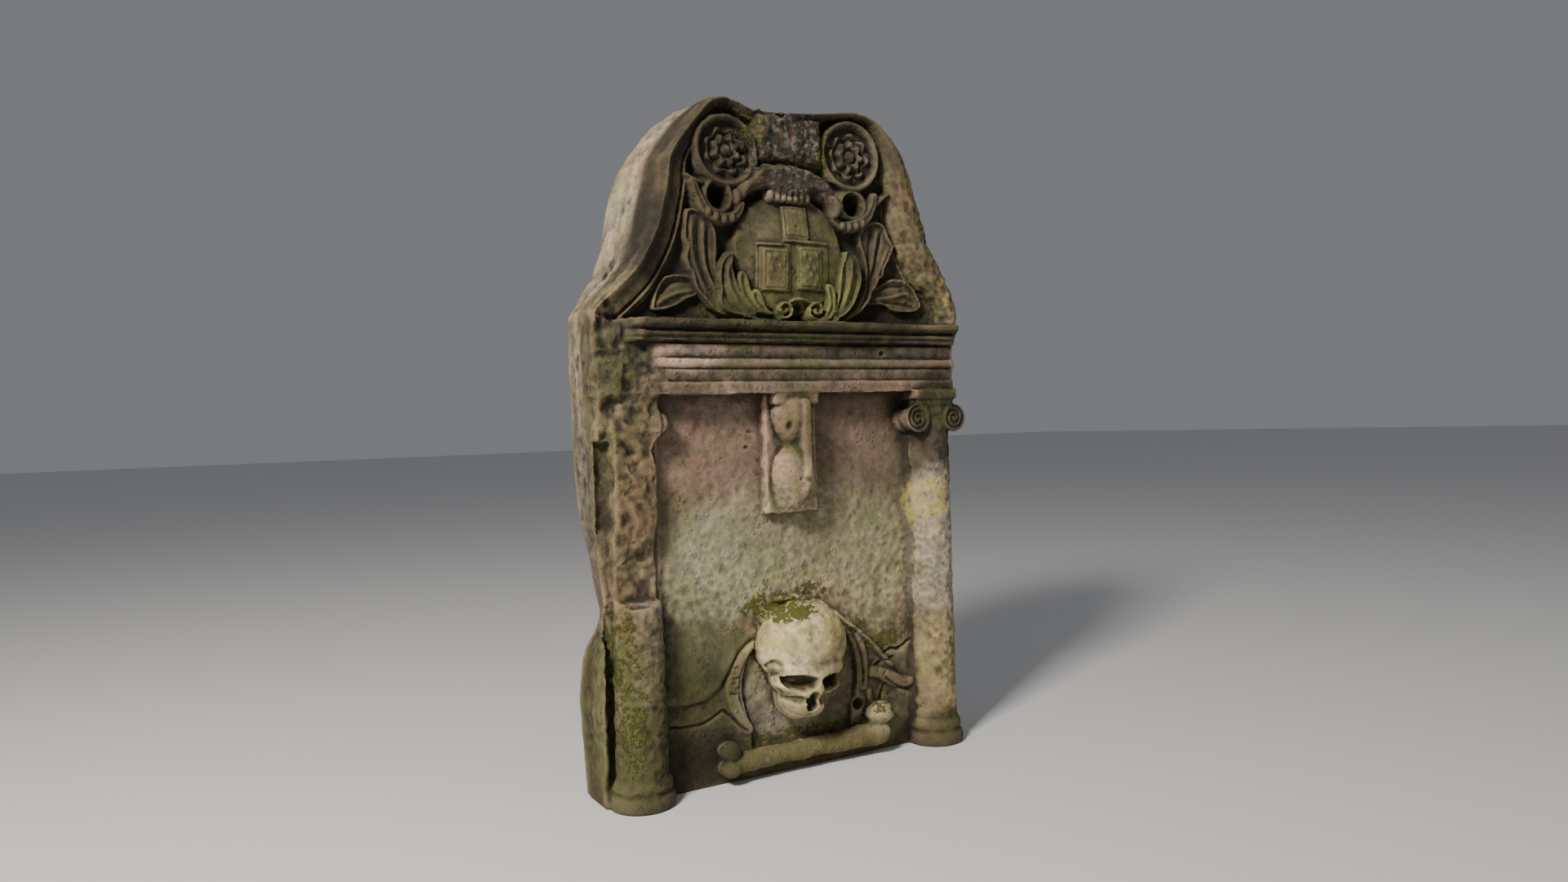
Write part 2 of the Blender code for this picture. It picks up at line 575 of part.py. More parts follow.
def make_leaves(group):
    """Acanthus under the cartouche, tall leaves beside it and a leaf in each corner."""
    front = FACE_Y + 0.1 * FIELD_SINKING
    lift = 0.45 * FIELD_SINKING
    inner = (
        (((0.12, 0.03), (0.3, 0.05), (0.375, 0.16), (0.325, 0.3)), 0.082),
        (((0.08, 0.035), (0.22, 0.05), (0.285, 0.12), (0.26, 0.22)), 0.058),
        (((0.04, 0.035), (0.14, 0.04), (0.195, 0.08), (0.195, 0.14)), 0.044),
    )
    for side, hand in ((-1, "left"), (1, "right")):
        for k, (spine, width) in enumerate(inner):
            places = [gable(side * a, b) for a, b in spine]
            add_leaf(f"{hand}_acanthus_{k + 1}", places, width * GABLE_HEIGHT, lift, front, group,
                     lobes=3, lobe_depth=0.2)
        tall = [gable(side * a, b) for a, b in ((0.34, 0.03), (0.455, 0.12), (0.5, 0.29), (0.54, 0.49))]
        tall_base = FIELD_Y - 0.3 * FIELD_SINKING
        add_leaf(f"{hand}_tall_leaf", tall, 0.098 * GABLE_HEIGHT, 0.6 * FIELD_SINKING, tall_base, group,
                 lobes=4, lobe_depth=0.22)
    left = [gable(a, b) for a, b in ((-0.44, 0.11), (-0.53, 0.145), (-0.62, 0.13), (-0.69, 0.04))]
    right = [gable(a, b) for a, b in ((0.45, 0.13), (0.57, 0.14), (0.69, 0.14), (0.8, 0.075))]
    for name, spine in (("left_corner_leaf", left), ("right_corner_leaf", right)):
        add_leaf(name, spine, 0.068 * GABLE_HEIGHT, lift, FIELD_Y, group, lobes=3, lobe_depth=0.25)
    for name, across, radius, hand in (("left_curl", -0.045, 0.036, -1), ("right_curl", 0.125, 0.044, 1)):
        x, z = gable(across, 0.057)
        r = radius * GABLE_HEIGHT
        disc = ((r, FIELD_Y + ROOT), (r, front - lift + 0.003), (0.9 * r, front - lift))
        add_turned(name, disc, 14, (x, 0, z), group, axis="Y")
        coil_y = front - lift
        add_spiral(name + "_coil", (x, z), r, 1.3, coil_y - 0.003, coil_y + 0.004, group, hand=hand)


def make_skull(group, hollows):
    """The skull, without a lower jaw, looking down; its forms are shares of its width."""
    w = SKULL_WIDTH
    y = PANEL_Y - 0.1 * w
    z = 1.225 * w
    forms = (
        ("cranium", (0.02, y, z), (0.5, 0.35, 0.4), 18, 11),
        ("face", (0.04, y - 0.05 * w, z - 0.36 * w), (0.36, 0.31, 0.24), 12, 7),
        ("upper_jaw", (0.0, y - 0.08 * w, z - 0.54 * w), (0.2, 0.27, 0.15), 10, 6),
        ("brow", (0.06, y - 0.21 * w, z - 0.25 * w), (0.37, 0.15, 0.085), 10, 6),
        ("left_cheek", (-0.22, y - 0.15 * w, z - 0.4 * w), (0.12, 0.14, 0.08), 8, 5),
        ("right_cheek", (0.31, y - 0.13 * w, z - 0.42 * w), (0.12, 0.14, 0.08), 8, 5),
    )
    for name, centre, radii, sides, rows in forms:
        place = (centre[0] * w, centre[1], centre[2])
        add_egg(name, place, [share * w for share in radii], group, sides, rows)
    pits = (
        ("left_socket", -0.17, 0.31, 0.35, (0.14, 0.16, 0.06), 0.04),
        ("right_socket", 0.215, 0.31, 0.375, (0.12, 0.16, 0.058), -0.08),
        ("nose_pit", 0.06, 0.34, 0.485, (0.05, 0.12, 0.07), 0.0),
    )
    for name, across, forward, down, radii, turn in pits:
        place = (across * w, y - forward * w, z - down * w)
        add_egg(name, place, [share * w for share in radii], hollows, 8, 6, turn)


def make_ribbon(group, sinkings):
    """The niche round the skull and the ribbon that frames it, with its loose ends."""
    w = SKULL_WIDTH
    arch = ((-0.56, 0.4), (-0.7, 0.8), (-0.62, 1.14), (-0.36, 1.42), (0.02, 1.55), (0.42, 1.4), (0.72, 1.16),
            (0.86, 0.84), (0.78, 0.5))
    niche = [(x * w * 0.86 + 0.012 * w, z * w * 0.86) for x, z in arch]

    def fill(shape):
        floor_y = PANEL_Y + 0.75 * RIBBON_PROJECTION
        rings = [[(x, depth, z) for x, z in niche] for depth in (FACE_Y - SLAB_THICKNESS, floor_y)]
        loft(shape, rings)
    add_object("niche", fill, sinkings)
    front = PANEL_Y - RIBBON_PROJECTION
    places = [(x * w, z * w) for x, z in arch]
    add_band("ribbon", places, RIBBON_WIDTH, front, PANEL_Y + ROOT, group)
    end_front = front + 0.18 * RIBBON_PROJECTION
    left = [(x * w, z * w) for x, z in ((-0.72, 0.88), (-0.9, 0.74), (-1.1, 0.69), (-1.38, 0.69))]
    add_band("left_ribbon_end", left, 0.75 * RIBBON_WIDTH, end_front, PANEL_Y + ROOT, group)
    right = [(x * w, z * w) for x, z in ((0.87, 0.84), (1.02, 0.72), (1.2, 0.7), (1.36, 0.8))]
    add_band("right_ribbon_end", right, 1.25 * RIBBON_WIDTH, end_front, PANEL_Y + ROOT, group)
    ridge_shares = ((-0.16, 1.69), (0.26, 1.62), (0.53, 1.45), (0.79, 1.25), (0.99, 1.01), (1.16, 0.84))
    ridge = [(x * w, z * w) for x, z in ridge_shares]
    add_band("ridge", ridge, 0.3 * RIBBON_WIDTH, front - 0.003, PANEL_Y + ROOT, group)


def make_bone(group):
    """The long bone on the ground: a shaft with a knuckled end on each side."""
    r = BONE_DIAMETER / 2
    half = BONE_LENGTH / 2
    x = 0.06 * BONE_LENGTH
    y = PANEL_Y - 0.75 * r
    z = 1.75 * r
    sides = 10

    def fill(shape):
        rings = []
        for share, scale in ((-0.92, 0.95), (-0.6, 0.95), (0.0, 0.92), (0.6, 1.0), (0.9, 1.15)):
            ring = []
            for k in range(sides):
                angle = 2 * math.pi * k / sides
                out, up = scale * r * math.cos(angle), scale * r * math.sin(angle)
                ring.append((x + share * half, y + out, z + up))
            rings.append(ring)
        loft(shape, rings)
    add_object("bone_shaft", fill, group)
    knobs = (
        ("lower_left_knob", -1.0, -0.3, (0.95, 1.0, 0.85)),
        ("upper_left_knob", -1.0, 1.15, (0.95, 1.0, 0.85)),
        ("lower_right_knob", 0.92, 0.1, (1.5, 1.1, 1.1)),
        ("upper_right_knob", 0.98, 1.9, (1.42, 1.15, 1.0)),
    )
    for name, share, up, radii in knobs:
        add_egg(name, (x + share * half, y - 0.1 * r, z + up * r), [s * r for s in radii], group, 9, 6)


def cut_breaks(hollows):
    """Lost corners and chips, and the flat cut at the ground."""
    r = COLUMN_RADIUS
    reach = SHOULDER_WIDTH
    low = (-1.2 * HALF_WIDTH, FACE_Y - SLAB_THICKNESS, FRIEZE_BOTTOM - 0.2 * CAPITAL_HEIGHT)
    high = (-0.7 * HALF_WIDTH, FACE_Y + 0.22 * PANEL_SINKING, CORNICE_TOP - 0.06 * ENTABLATURE_HEIGHT)
    add_rough_block("lost_corner", low, high, (5, 7), 0.005, 8, hollows, rough_side=1)
    stump_front = COLUMN_Y - r
    bulb_front = PANEL_Y - PLAQUE_THICKNESS - 0.48 * BULB_DIAMETER
    chips = (
        ("stump_top", (LEFT_COLUMN_X - 0.2 * r, stump_front, STUMP_HEIGHT), (0.03, 0.03, 0.022)),
        ("stump_edge", (LEFT_COLUMN_X + 0.9 * r, COLUMN_Y - 0.77 * r, 0.72 * STUMP_HEIGHT),
         (0.012, 0.02, 0.03)),
        ("upper_bulb", (0.0, bulb_front, FRIEZE_BOTTOM - 0.26 * PLAQUE_LENGTH), (0.012, 0.012, 0.014)),
        ("lower_bulb", (-0.01, bulb_front, FRIEZE_BOTTOM - 0.76 * PLAQUE_LENGTH), (0.01, 0.01, 0.012)),
        ("right_shoulder", (HALF_WIDTH, FACE_Y, CORNICE_TOP + 0.02 * GABLE_HEIGHT), (0.014, 0.03, 0.008)),
    )
    for k, (name, centre, size) in enumerate(chips):
        add_chip(name + "_chip", centre, size, 20 + k, hollows)
    add_box("ground", (-2 * reach, -2 * reach, -reach), (2 * reach, 2 * reach, 0.0), hollows)


def working_group(name):
    group = bpy.data.collections.new(name)
    bpy.context.scene.collection.children.link(group)
    return group


def hide_helpers(group):
    for item in group.objects:
        item.hide_render = True
        item.display_type = "WIRE"
        item.hide_set(True)


def join_carving(slab, group, operation, solver):
    change = slab.modifiers.new(group.name, "BOOLEAN")
    change.operation = operation
    change.operand_type = "COLLECTION"
    change.collection = group
    change.solver = solver


def main():
    clear_scene()
    stone = working_group("stone")
    sinkings = working_group("sinkings")
    relief = working_group("relief")
    hollows = working_group("hollows")

    headstone = make_slab(stone)
    headstone.name = "headstone"
    headstone.data.materials.append(stone_material())

    cut_panel(sinkings)
    cut_gable_field(sinkings)
    make_entablature(relief)
    make_right_column(relief)
    make_right_capital(relief)
    make_left_column(relief)
    make_hourglass(relief)
    make_rosettes(relief)
    make_gable_block(relief)
    make_crest(relief)
    make_straps(relief, hollows)
    make_cartouche(relief)
    make_leaves(relief)
    make_skull(relief, hollows)
    make_ribbon(relief, sinkings)
    make_bone(relief)
    cut_breaks(hollows)

    join_carving(headstone, sinkings, "DIFFERENCE", "EXACT")
    join_carving(headstone, relief, "UNION", "MANIFOLD")
    join_carving(headstone, hollows, "DIFFERENCE", "MANIFOLD")
    for group in (sinkings, relief, hollows):
        hide_helpers(group)


main()
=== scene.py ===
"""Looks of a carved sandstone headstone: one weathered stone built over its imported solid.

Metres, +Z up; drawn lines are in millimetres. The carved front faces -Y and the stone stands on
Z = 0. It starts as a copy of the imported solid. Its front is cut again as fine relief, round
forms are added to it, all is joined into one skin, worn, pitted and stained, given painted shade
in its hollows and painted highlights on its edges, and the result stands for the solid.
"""

from __future__ import annotations

import json
import logging
import math
from dataclasses import dataclass
from enum import Enum
from typing import Sequence

import bpy
import numpy as np
from mathutils import Matrix, Vector

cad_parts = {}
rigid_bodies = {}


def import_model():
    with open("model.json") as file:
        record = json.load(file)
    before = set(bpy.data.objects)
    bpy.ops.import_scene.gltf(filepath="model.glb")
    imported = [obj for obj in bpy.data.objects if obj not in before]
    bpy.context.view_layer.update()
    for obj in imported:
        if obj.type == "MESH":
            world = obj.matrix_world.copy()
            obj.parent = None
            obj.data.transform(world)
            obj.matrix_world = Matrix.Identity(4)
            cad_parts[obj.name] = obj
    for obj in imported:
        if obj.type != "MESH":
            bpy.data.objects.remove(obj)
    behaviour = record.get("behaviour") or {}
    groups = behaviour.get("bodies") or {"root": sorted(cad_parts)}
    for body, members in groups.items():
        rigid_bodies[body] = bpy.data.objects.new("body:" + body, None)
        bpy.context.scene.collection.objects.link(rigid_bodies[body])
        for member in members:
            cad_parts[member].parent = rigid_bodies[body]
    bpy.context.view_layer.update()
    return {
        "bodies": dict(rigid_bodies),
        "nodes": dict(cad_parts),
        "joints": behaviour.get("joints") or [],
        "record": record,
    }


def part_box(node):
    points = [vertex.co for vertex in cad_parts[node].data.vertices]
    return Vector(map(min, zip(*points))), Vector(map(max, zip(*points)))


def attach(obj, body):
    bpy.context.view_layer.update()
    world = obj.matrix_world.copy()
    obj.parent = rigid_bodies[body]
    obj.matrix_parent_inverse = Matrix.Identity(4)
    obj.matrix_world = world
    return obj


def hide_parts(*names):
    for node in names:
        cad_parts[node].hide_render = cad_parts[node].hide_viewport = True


LOG = logging.getLogger("headstone")
MILLIMETRES = 1000.0
WORN_EDGE = 0.006
NODE = "headstone"
BODY = "root"

Array = np.ndarray
Piece = bpy.types.Object
Socket = bpy.types.NodeSocket
Row = Sequence[float]
Place = tuple[float, float]
Path2D = Sequence[Place]
Run = Sequence[float]
Triple = tuple[float, float, float]
Colour = Triple


@dataclass(frozen=True)
class Plan:
    """Planes and main sizes of the stone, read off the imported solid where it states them."""

    low: Vector
    high: Vector
    half_width: float = 0.38
    face: float = 0.07
    panel: float = 0.028
    field: float = 0.035
    cornice_top: float = 0.82
    frieze_bottom: float = 0.692
    column_radius: float = 0.044
    column_y: float = -0.0381
    left_column_x: float = -0.308
    right_column_x: float = 0.32
    stump_height: float = 0.342
    skull_width: float = 0.19

    @property
    def gable_height(self) -> float:
        """Height of the gable above the cornice."""
        return self.high.z - self.cornice_top

    @property
    def entablature_height(self) -> float:
        """Height of the moulded beam under the gable."""
        return self.cornice_top - self.frieze_bottom

    def gable(self, shares: Path2D) -> Array:
        """Places in the gable from shares of its half width and height.

        Args:
            shares: pairs of share across and share up.

        Returns:
            An array of (x, z) rows in metres.
        """
        table = np.array(shares, float)
        table[:, 0] *= self.half_width
        table[:, 1] = self.cornice_top + table[:, 1] * self.gable_height
        return table


@dataclass(frozen=True)
class Sight:
    """The eye that the carving was drawn from, on the plane of the stone's face."""

    eye_x: float = -1.0061
    eye_y: float = -1.7079
    eye_z: float = 0.6373
    yaw: float = math.radians(30.832)
    pitch: float = math.radians(-0.931)
    roll: float = math.radians(-1.734)
    trace_lift: float = 0.012

    def sink(self, drawn: Run, height: float, face: float) -> Array:
        """Slides drawn places from the face plane back along the line of sight.

        Args:
            drawn: x and z by turns, in millimetres, as seen on the face plane.
            height: how far the carved form stands before the slab's middle plane.
            face: how far the face plane stands before it.

        Returns:
            An array of (x, z) rows at the form's own depth.
        """
        table = np.array(drawn, float).reshape(-1, 2) / MILLIMETRES
        table[:, 1] += self.trace_lift
        share = (face - height) / (-face - self.eye_y)
        eye = np.array((self.eye_x, self.eye_z))
        return table + (table - eye) * share


def select_only(item: Piece) -> None:
    """Makes one object the only selected and active one."""
    bpy.ops.object.select_all(action="DESELECT")
    item.select_set(True)
    bpy.context.view_layer.objects.active = item


def apply_modifier(item: Piece, kind: str, **settings: object) -> None:
    """Adds a modifier with its settings and applies it.

    Args:
        item: the object to change.
        kind: the modifier's type.
        settings: values for the modifier's own fields.
    """
    select_only(item)
    change = item.modifiers.new(kind.lower(), kind)
    for key, value in settings.items():
        setattr(change, key, value)
    bpy.ops.object.modifier_apply(modifier=change.name)


def join_all(items: Sequence[Piece]) -> Piece:
    """Joins objects into the first one and returns it."""
    bpy.ops.object.select_all(action="DESELECT")
    for item in items:
        item.select_set(True)
    bpy.context.view_layer.objects.active = items[0]
    bpy.ops.object.join()
    return items[0]


def read_places(mesh: bpy.types.Mesh, field: str = "co") -> Array:
    """The vertices of a mesh as an array of (x, y, z) rows, or another field of theirs."""
    table = np.empty(len(mesh.vertices) * 3)
    mesh.vertices.foreach_get(field, table)
    return table.reshape(-1, 3)


def read_normals(mesh: bpy.types.Mesh) -> Array:
    """The vertex normals of a mesh as an array of rows."""
    return read_places(mesh, "normal")


def write_places(mesh: bpy.types.Mesh, table: Array) -> None:
    """Puts the vertices of a mesh at the given rows."""
    mesh.vertices.foreach_set("co", np.ascontiguousarray(table).ravel())
    mesh.update()


def smooth_step(value: Array, low: float, high: float) -> Array:
    """0 below low, 1 above high and a soft step between them."""
    share = np.clip((value - low) / (high - low), 0.0, 1.0)
    return share * share * (3.0 - 2.0 * share)


def crown(depth: Array, bevel: float) -> Array:
    """A quarter round that climbs from 0 at an edge to 1 at a bevel's width inside it."""
    share = np.clip(depth / bevel, 0.0, 1.0)
    return np.sqrt(1.0 - (1.0 - share) ** 2)


def span(value: Array, rise: Row, fall: Row) -> Array:
    """1 between two soft steps: up over the rise and down over the fall."""
    return smooth_step(value, *rise) * (1.0 - smooth_step(value, *fall))


def coil_path(centre: Row, reach: float | Array, angle: Array) -> Array:
    """(x, z) rows round a centre, at the given reaches and angles."""
    return np.stack((centre[0] + reach * np.cos(angle), centre[1] + reach * np.sin(angle)), axis=1)


def smooth_path(points: Array, per_span: int = 5, closed: bool = False) -> Array:
    """A smooth curve through the given places.

    Args:
        points: (x, z) rows.
        per_span: how many points each stretch gets.
        closed: whether the curve returns to its start.

    Returns:
        The curve as (x, z) rows.
    """
    if closed:
        ends = np.vstack((points[-1:], points, points[:2]))
    else:
        ends = np.vstack((points[:1], points, points[-1:]))
    found = []
    for i in range(1, len(ends) - 2):
        a, b, c, d = ends[i - 1 : i + 3]
        bend, twist = 2 * a - 5 * b + 4 * c - d, 3 * b - a - 3 * c + d
        for t in np.arange(per_span) / per_span:
            found.append(0.5 * (2 * b + (c - a) * t + bend * t**2 + twist * t**3))
    if not closed:
        found.append(points[-1])
    return np.array(found)


def path_reach(places: Array, path: Array) -> tuple[Array, Array]:
    """How far places lie from a path.

    Args:
        places: (x, z) rows.
        path: the path's (x, z) rows.

    Returns:
        The distance of each place, and the share of the path at its nearest point.
    """
    lengths = np.linalg.norm(np.diff(path, axis=0), axis=1)
    run = np.concatenate(((0.0,), np.cumsum(lengths)))
    best = np.full(len(places), np.inf)
    share = np.zeros(len(places))
    for k, length in enumerate(lengths):
        step = (path[k + 1] - path[k]) / max(length, 1e-9)
        offset = places - path[k]
        along = np.clip(offset @ step, 0.0, length)
        distance = np.linalg.norm(offset - along[:, None] * step, axis=1)
        nearer = distance < best
        best[nearer] = distance[nearer]
        share[nearer] = (run[k] + along[nearer]) / run[-1]
    return best, share


def outline_depth(places: Array, outline: Array) -> Array:
    """How far inside a closed outline each place lies; negative outside it."""
    best, _ = path_reach(places, np.vstack((outline, outline[:1])))
    inside = np.zeros(len(places), bool)
    x, z = places[:, 0], places[:, 1]
    for (ax, az), (bx, bz) in zip(outline, np.roll(outline, -1, axis=0)):
        if az != bz:
            inside ^= ((az > z) != (bz > z)) & (x < (bx - ax) * (z - az) / (bz - az) + ax)
    return np.where(inside, best, -best)


def lattice_noise(places: Array, size: float | Row, seed: int) -> Array:
    """Soft random values between -1 and 1 that change over about one size.

    Args:
        places: (x, y, z) rows.
        size: the grain's size, or one size for each axis.
        seed: which grain.

    Returns:
        One value for each place.
    """
    side = 64
    table = np.random.default_rng(seed).uniform(-1.0, 1.0, (side, side, side))
    turned = places @ np.array(((0.8, 0.6, 0.0), (-0.6, 0.8, 0.0), (0.0, 0.0, 1.0)))
    scaled = (turned if np.isscalar(size) else places) / np.array(size) + 500.0
    cell = np.floor(scaled).astype(int)
    share = scaled - cell
    share = share * share * (3.0 - 2.0 * share)
    total = np.zeros(len(places))
    for corner in np.ndindex(2, 2, 2):
        weight = np.ones(len(places))
        for axis, step in enumerate(corner):
            weight *= share[:, axis] if step else 1.0 - share[:, axis]
        i, j, k = ((cell[:, axis] + corner[axis]) % side for axis in range(3))
        total += weight * table[i, j, k]
    return total


def layered_noise(places: Array, size: float | Array, seed: int, layers: int = 3) -> Array:
    """Soft random values with finer and finer grain laid over each other."""
    total = np.zeros(len(places))
    for k in range(layers):
        total += lattice_noise(places, size / 2.1**k, seed + k) * 0.55**k
    return total


def pocket_noise(places: Array, size: float, seed: int) -> Array:
    """Distance to the nearest of many scattered points, as a share of the cell size."""
    side = 64
    table = np.random.default_rng(seed).uniform(0.0, 1.0, (side, side, side, 3))
    scaled = places / size + 500.0
    cell = np.floor(scaled).astype(int)
    best = np.full(len(places), np.inf)
    for corner in np.ndindex(3, 3, 3):
        around = cell + np.array(corner) - 1
        i, j, k = (around[:, axis] % side for axis in range(3))
        best = np.minimum(best, ((around + table[i, j, k] - scaled) ** 2).sum(axis=1))
    return np.sqrt(best)


class Relief:
    """Heights of the carved front over a cloud of (x, z) places, measured towards the viewer."""

    def __init__(self, plan: Plan, sight: Sight, places: Array, heights: Array) -> None:
        """Starts from the given heights.

        Args:
            plan: the stone's planes.
            sight: the eye that drawn outlines belong to.
            places: (x, z) rows.
            heights: the height at each place.
        """
        self.plan = plan
        self.sight = sight
        self.places = places
        self.heights = heights

    def near(self, points: Array, reach: float = 0.0) -> Array:
        """Numbers of the places in the box round some points."""
        low, high = points.min(axis=0) - reach, points.max(axis=0) + reach
        return np.flatnonzero(np.all((self.places > low) & (self.places < high), axis=1))

    def inside(self, outline: Array) -> tuple[Array, Array]:
        """Numbers of the places inside an outline, and how deep in it each lies."""
        near = self.near(outline)
        depth = outline_depth(self.places[near], outline)
        return near[depth > 0.0], depth[depth > 0.0]

    def oval(self, centre: Row, radii: Row) -> tuple[Array, Array]:
        """Numbers of the places inside an oval, and their reach as a share of its radii."""
        middle = np.array((centre,))
        near = self.near(middle, max(radii))
        reach = np.linalg.norm((self.places[near] - middle) / np.array(radii), axis=1)
        return near[reach < 1.0], reach[reach < 1.0]

    def lift(self, where: Array, form: Array) -> None:
        """Raises places to a form wherever it stands higher."""
        self.heights[where] = np.maximum(self.heights[where], form)

    def plate(self, outline: Array, root: float, top: float, bevel: float,
              hollow: float = 0.0, margin: float = 0.007) -> None:
        """Raises the inside of an outline, with a dished middle where hollow is given.

        Args:
            outline: the closed outline's (x, z) rows.
            root: the height at its edge.
            top: the height of its rim.
            bevel: how wide the rim's rounding is.
            hollow: how much lower the middle is.
            margin: how wide the raised rim is.
        """
        near, depth = self.inside(outline)
        form = root + (top - root) * crown(depth, bevel)
        form -= hollow * smooth_step(depth, 0.6 * margin, 1.8 * margin)
        self.lift(near, form)

    def band(self, path: Array, width: float, root: float, top: float, bevel: float,
             taper: float = 0.0) -> None:
        """Raises a strip along a path; taper narrows it towards both ends."""
        near = self.near(path, width)
        distance, share = path_reach(self.places[near], path)
        depth = 0.5 * width * (1.0 - taper * np.abs(2.0 * share - 1.0)) - distance
        near, depth = near[depth > 0.0], depth[depth > 0.0]
        self.lift(near, root + (top - root) * crown(depth, bevel))

    def stroke(self, path: Array, width: float, rise: float) -> None:
        """Adds a soft ridge along a path, or a groove where rise is negative."""
        near = self.near(path, 2.0 * width)
        distance, share = path_reach(self.places[near], path)
        fade = np.clip(8.0 * np.minimum(share, 1.0 - share) + 0.25, 0.0, 1.0)
        self.heights[near] += rise * fade * np.exp(-((distance / (0.5 * width)) ** 2))

    def egg(self, centre: Row, radii: Row, root: float, top: float) -> None:
        """Raises a rounded oval."""
        near, reach = self.oval(centre, radii)
        self.lift(near, root + (top - root) * np.sqrt(1.0 - reach**2))

    def pit(self, centre: Row, radii: Row, bottom: float, wall: float = 0.25) -> None:
        """Sinks an oval hole; wall is the share of its radius that slopes."""
        near, reach = self.oval(centre, radii)
        share = smooth_step(1.0 - reach, 0.0, wall)
        sunk = self.heights[near] * (1.0 - share) + bottom * share
        self.heights[near] = np.minimum(self.heights[near], sunk)

    def drawn(self, points: Run, height: float) -> Array:
        """Drawn places slid back to the depth of a form at the given height."""
        return self.sight.sink(points, height, self.plan.face)

    def spot(self, place: Run, height: float) -> Array:
        """One drawn place slid back."""
        return self.drawn(place, height)[0]

    def curve(self, points: Run, height: float) -> Array:
        """A smooth curve through drawn places."""
        return smooth_path(self.drawn(points, height))

    def loop(self, points: Run, height: float) -> Array:
        """A smooth closed outline through drawn places."""
        return smooth_path(self.drawn(points, height), 3, closed=True)


@dataclass(frozen=True)
class Entablature:
    """The moulded beam between the gable and the panel."""

    plan: Plan
    cornice: float = 0.025
    bead: float = 0.007
    fade_from: float = -0.285
    fade_to: float = -0.24
    cornice_overrun: Place = (0.045, 0.06)
    cornice_from: float = 0.7
    worn_depth: float = 0.011
    worn_rise: float = 0.009
    worn_span: Place = (-0.3, -0.24)
    right_end: float = 0.356
    frieze_profile: Path2D = (
        (0.0, 0.5), (0.16, 0.6), (0.175, -0.1), (0.335, 0.1), (0.355, -0.35), (0.37, 0.7), (0.42, 1.0),
        (0.47, 0.7), (0.485, -0.35), (0.665, 0.15), (0.68, -0.8), (0.705, -0.8),
    )
    cornice_profile: Path2D = (
        (0.715, 0.42), (0.77, 0.38), (0.79, 0.62), (0.83, 0.55), (0.845, 0.25), (0.875, 0.3),
        (0.9, 0.8), (0.92, 1.0), (0.99, 1.0), (1.0, 0.9),
    )

    def profile(self, up: Array) -> Array:
        """How far the mouldings stand out.

        Args:
            up: the share of the beam's height.

        Returns:
            The distance before the face at each share.
        """
        steps = [(at, out * self.bead) for at, out in self.frieze_profile]
        steps += [(at, out * self.cornice) for at, out in self.cornice_profile]
        return np.interp(up, *zip(*steps))

    def carve(self, relief: Relief) -> None:
        """Cuts the run of mouldings, worn away towards its broken left end."""
        plan = self.plan
        x, z = relief.places.T
        up = (z - plan.frieze_bottom) / plan.entablature_height
        lower = smooth_step(x, self.fade_from, self.fade_to)
        start, end = self.cornice_overrun
        upper = smooth_step(x, self.fade_from - start, self.fade_to - end)
        keep = np.where(up > self.cornice_from, upper, lower)
        worn = plan.face - self.worn_depth + self.worn_rise * smooth_step(x, *self.worn_span)
        height = worn * (1.0 - keep) + (plan.face + self.profile(up)) * keep
        inside = (up >= 0.0) & (up <= 1.0) & (x < self.right_end)
        relief.heights[inside] = height[inside]


@dataclass(frozen=True)
class GableRim:
    """The moulding along the swan necks: canted and grooved left, a worn roll on the right.

    The widths are pairs of height and width, the profiles pairs of share inwards and height.
    """

    plan: Plan
    outline: Array
    left_widths: Path2D = (
        (0.82, 0.058), (0.9, 0.058), (1.06, 0.056), (1.12, 0.04), (1.17, 0.02), (1.22, 0.014),
    )
    right_widths: Path2D = (
        (0.82, 0.04), (0.86, 0.052), (0.91, 0.076), (1.02, 0.08), (1.1, 0.066), (1.16, 0.032), (1.2, 0.014),
    )
    canted: Path2D = (
        (0.0, 0.068), (0.08, 0.07), (0.3, 0.06), (0.64, 0.052), (0.68, 0.042), (0.73, 0.044),
        (0.78, 0.053), (0.83, 0.05), (0.88, 0.038), (0.93, 0.042), (1.0, 0.035),
    )
    rolled: Path2D = (
        (0.0, 0.058), (0.12, 0.067), (0.35, 0.072), (0.55, 0.07), (0.75, 0.06), (0.86, 0.05),
        (0.91, 0.036), (0.95, 0.041), (1.0, 0.035),
    )

    def carve(self, relief: Relief) -> None:
        """Cuts the sunken field and the mouldings round it."""
        plan = self.plan
        x, z = relief.places.T
        above = z > plan.cornice_top
        depth = np.zeros(len(x))
        depth[above] = outline_depth(relief.places[above], self.outline)
        left = x < 0.0
        width = np.where(left, np.interp(z, *zip(*self.left_widths)),
                         np.interp(z, *zip(*self.right_widths)))
        share = np.clip(depth / width, 0.0, 1.0)
        height = np.where(left, np.interp(share, *zip(*self.canted)),
                          np.interp(share, *zip(*self.rolled)))
        height = np.where(share >= 1.0, plan.field, height)
        relief.heights[above] = height[above]


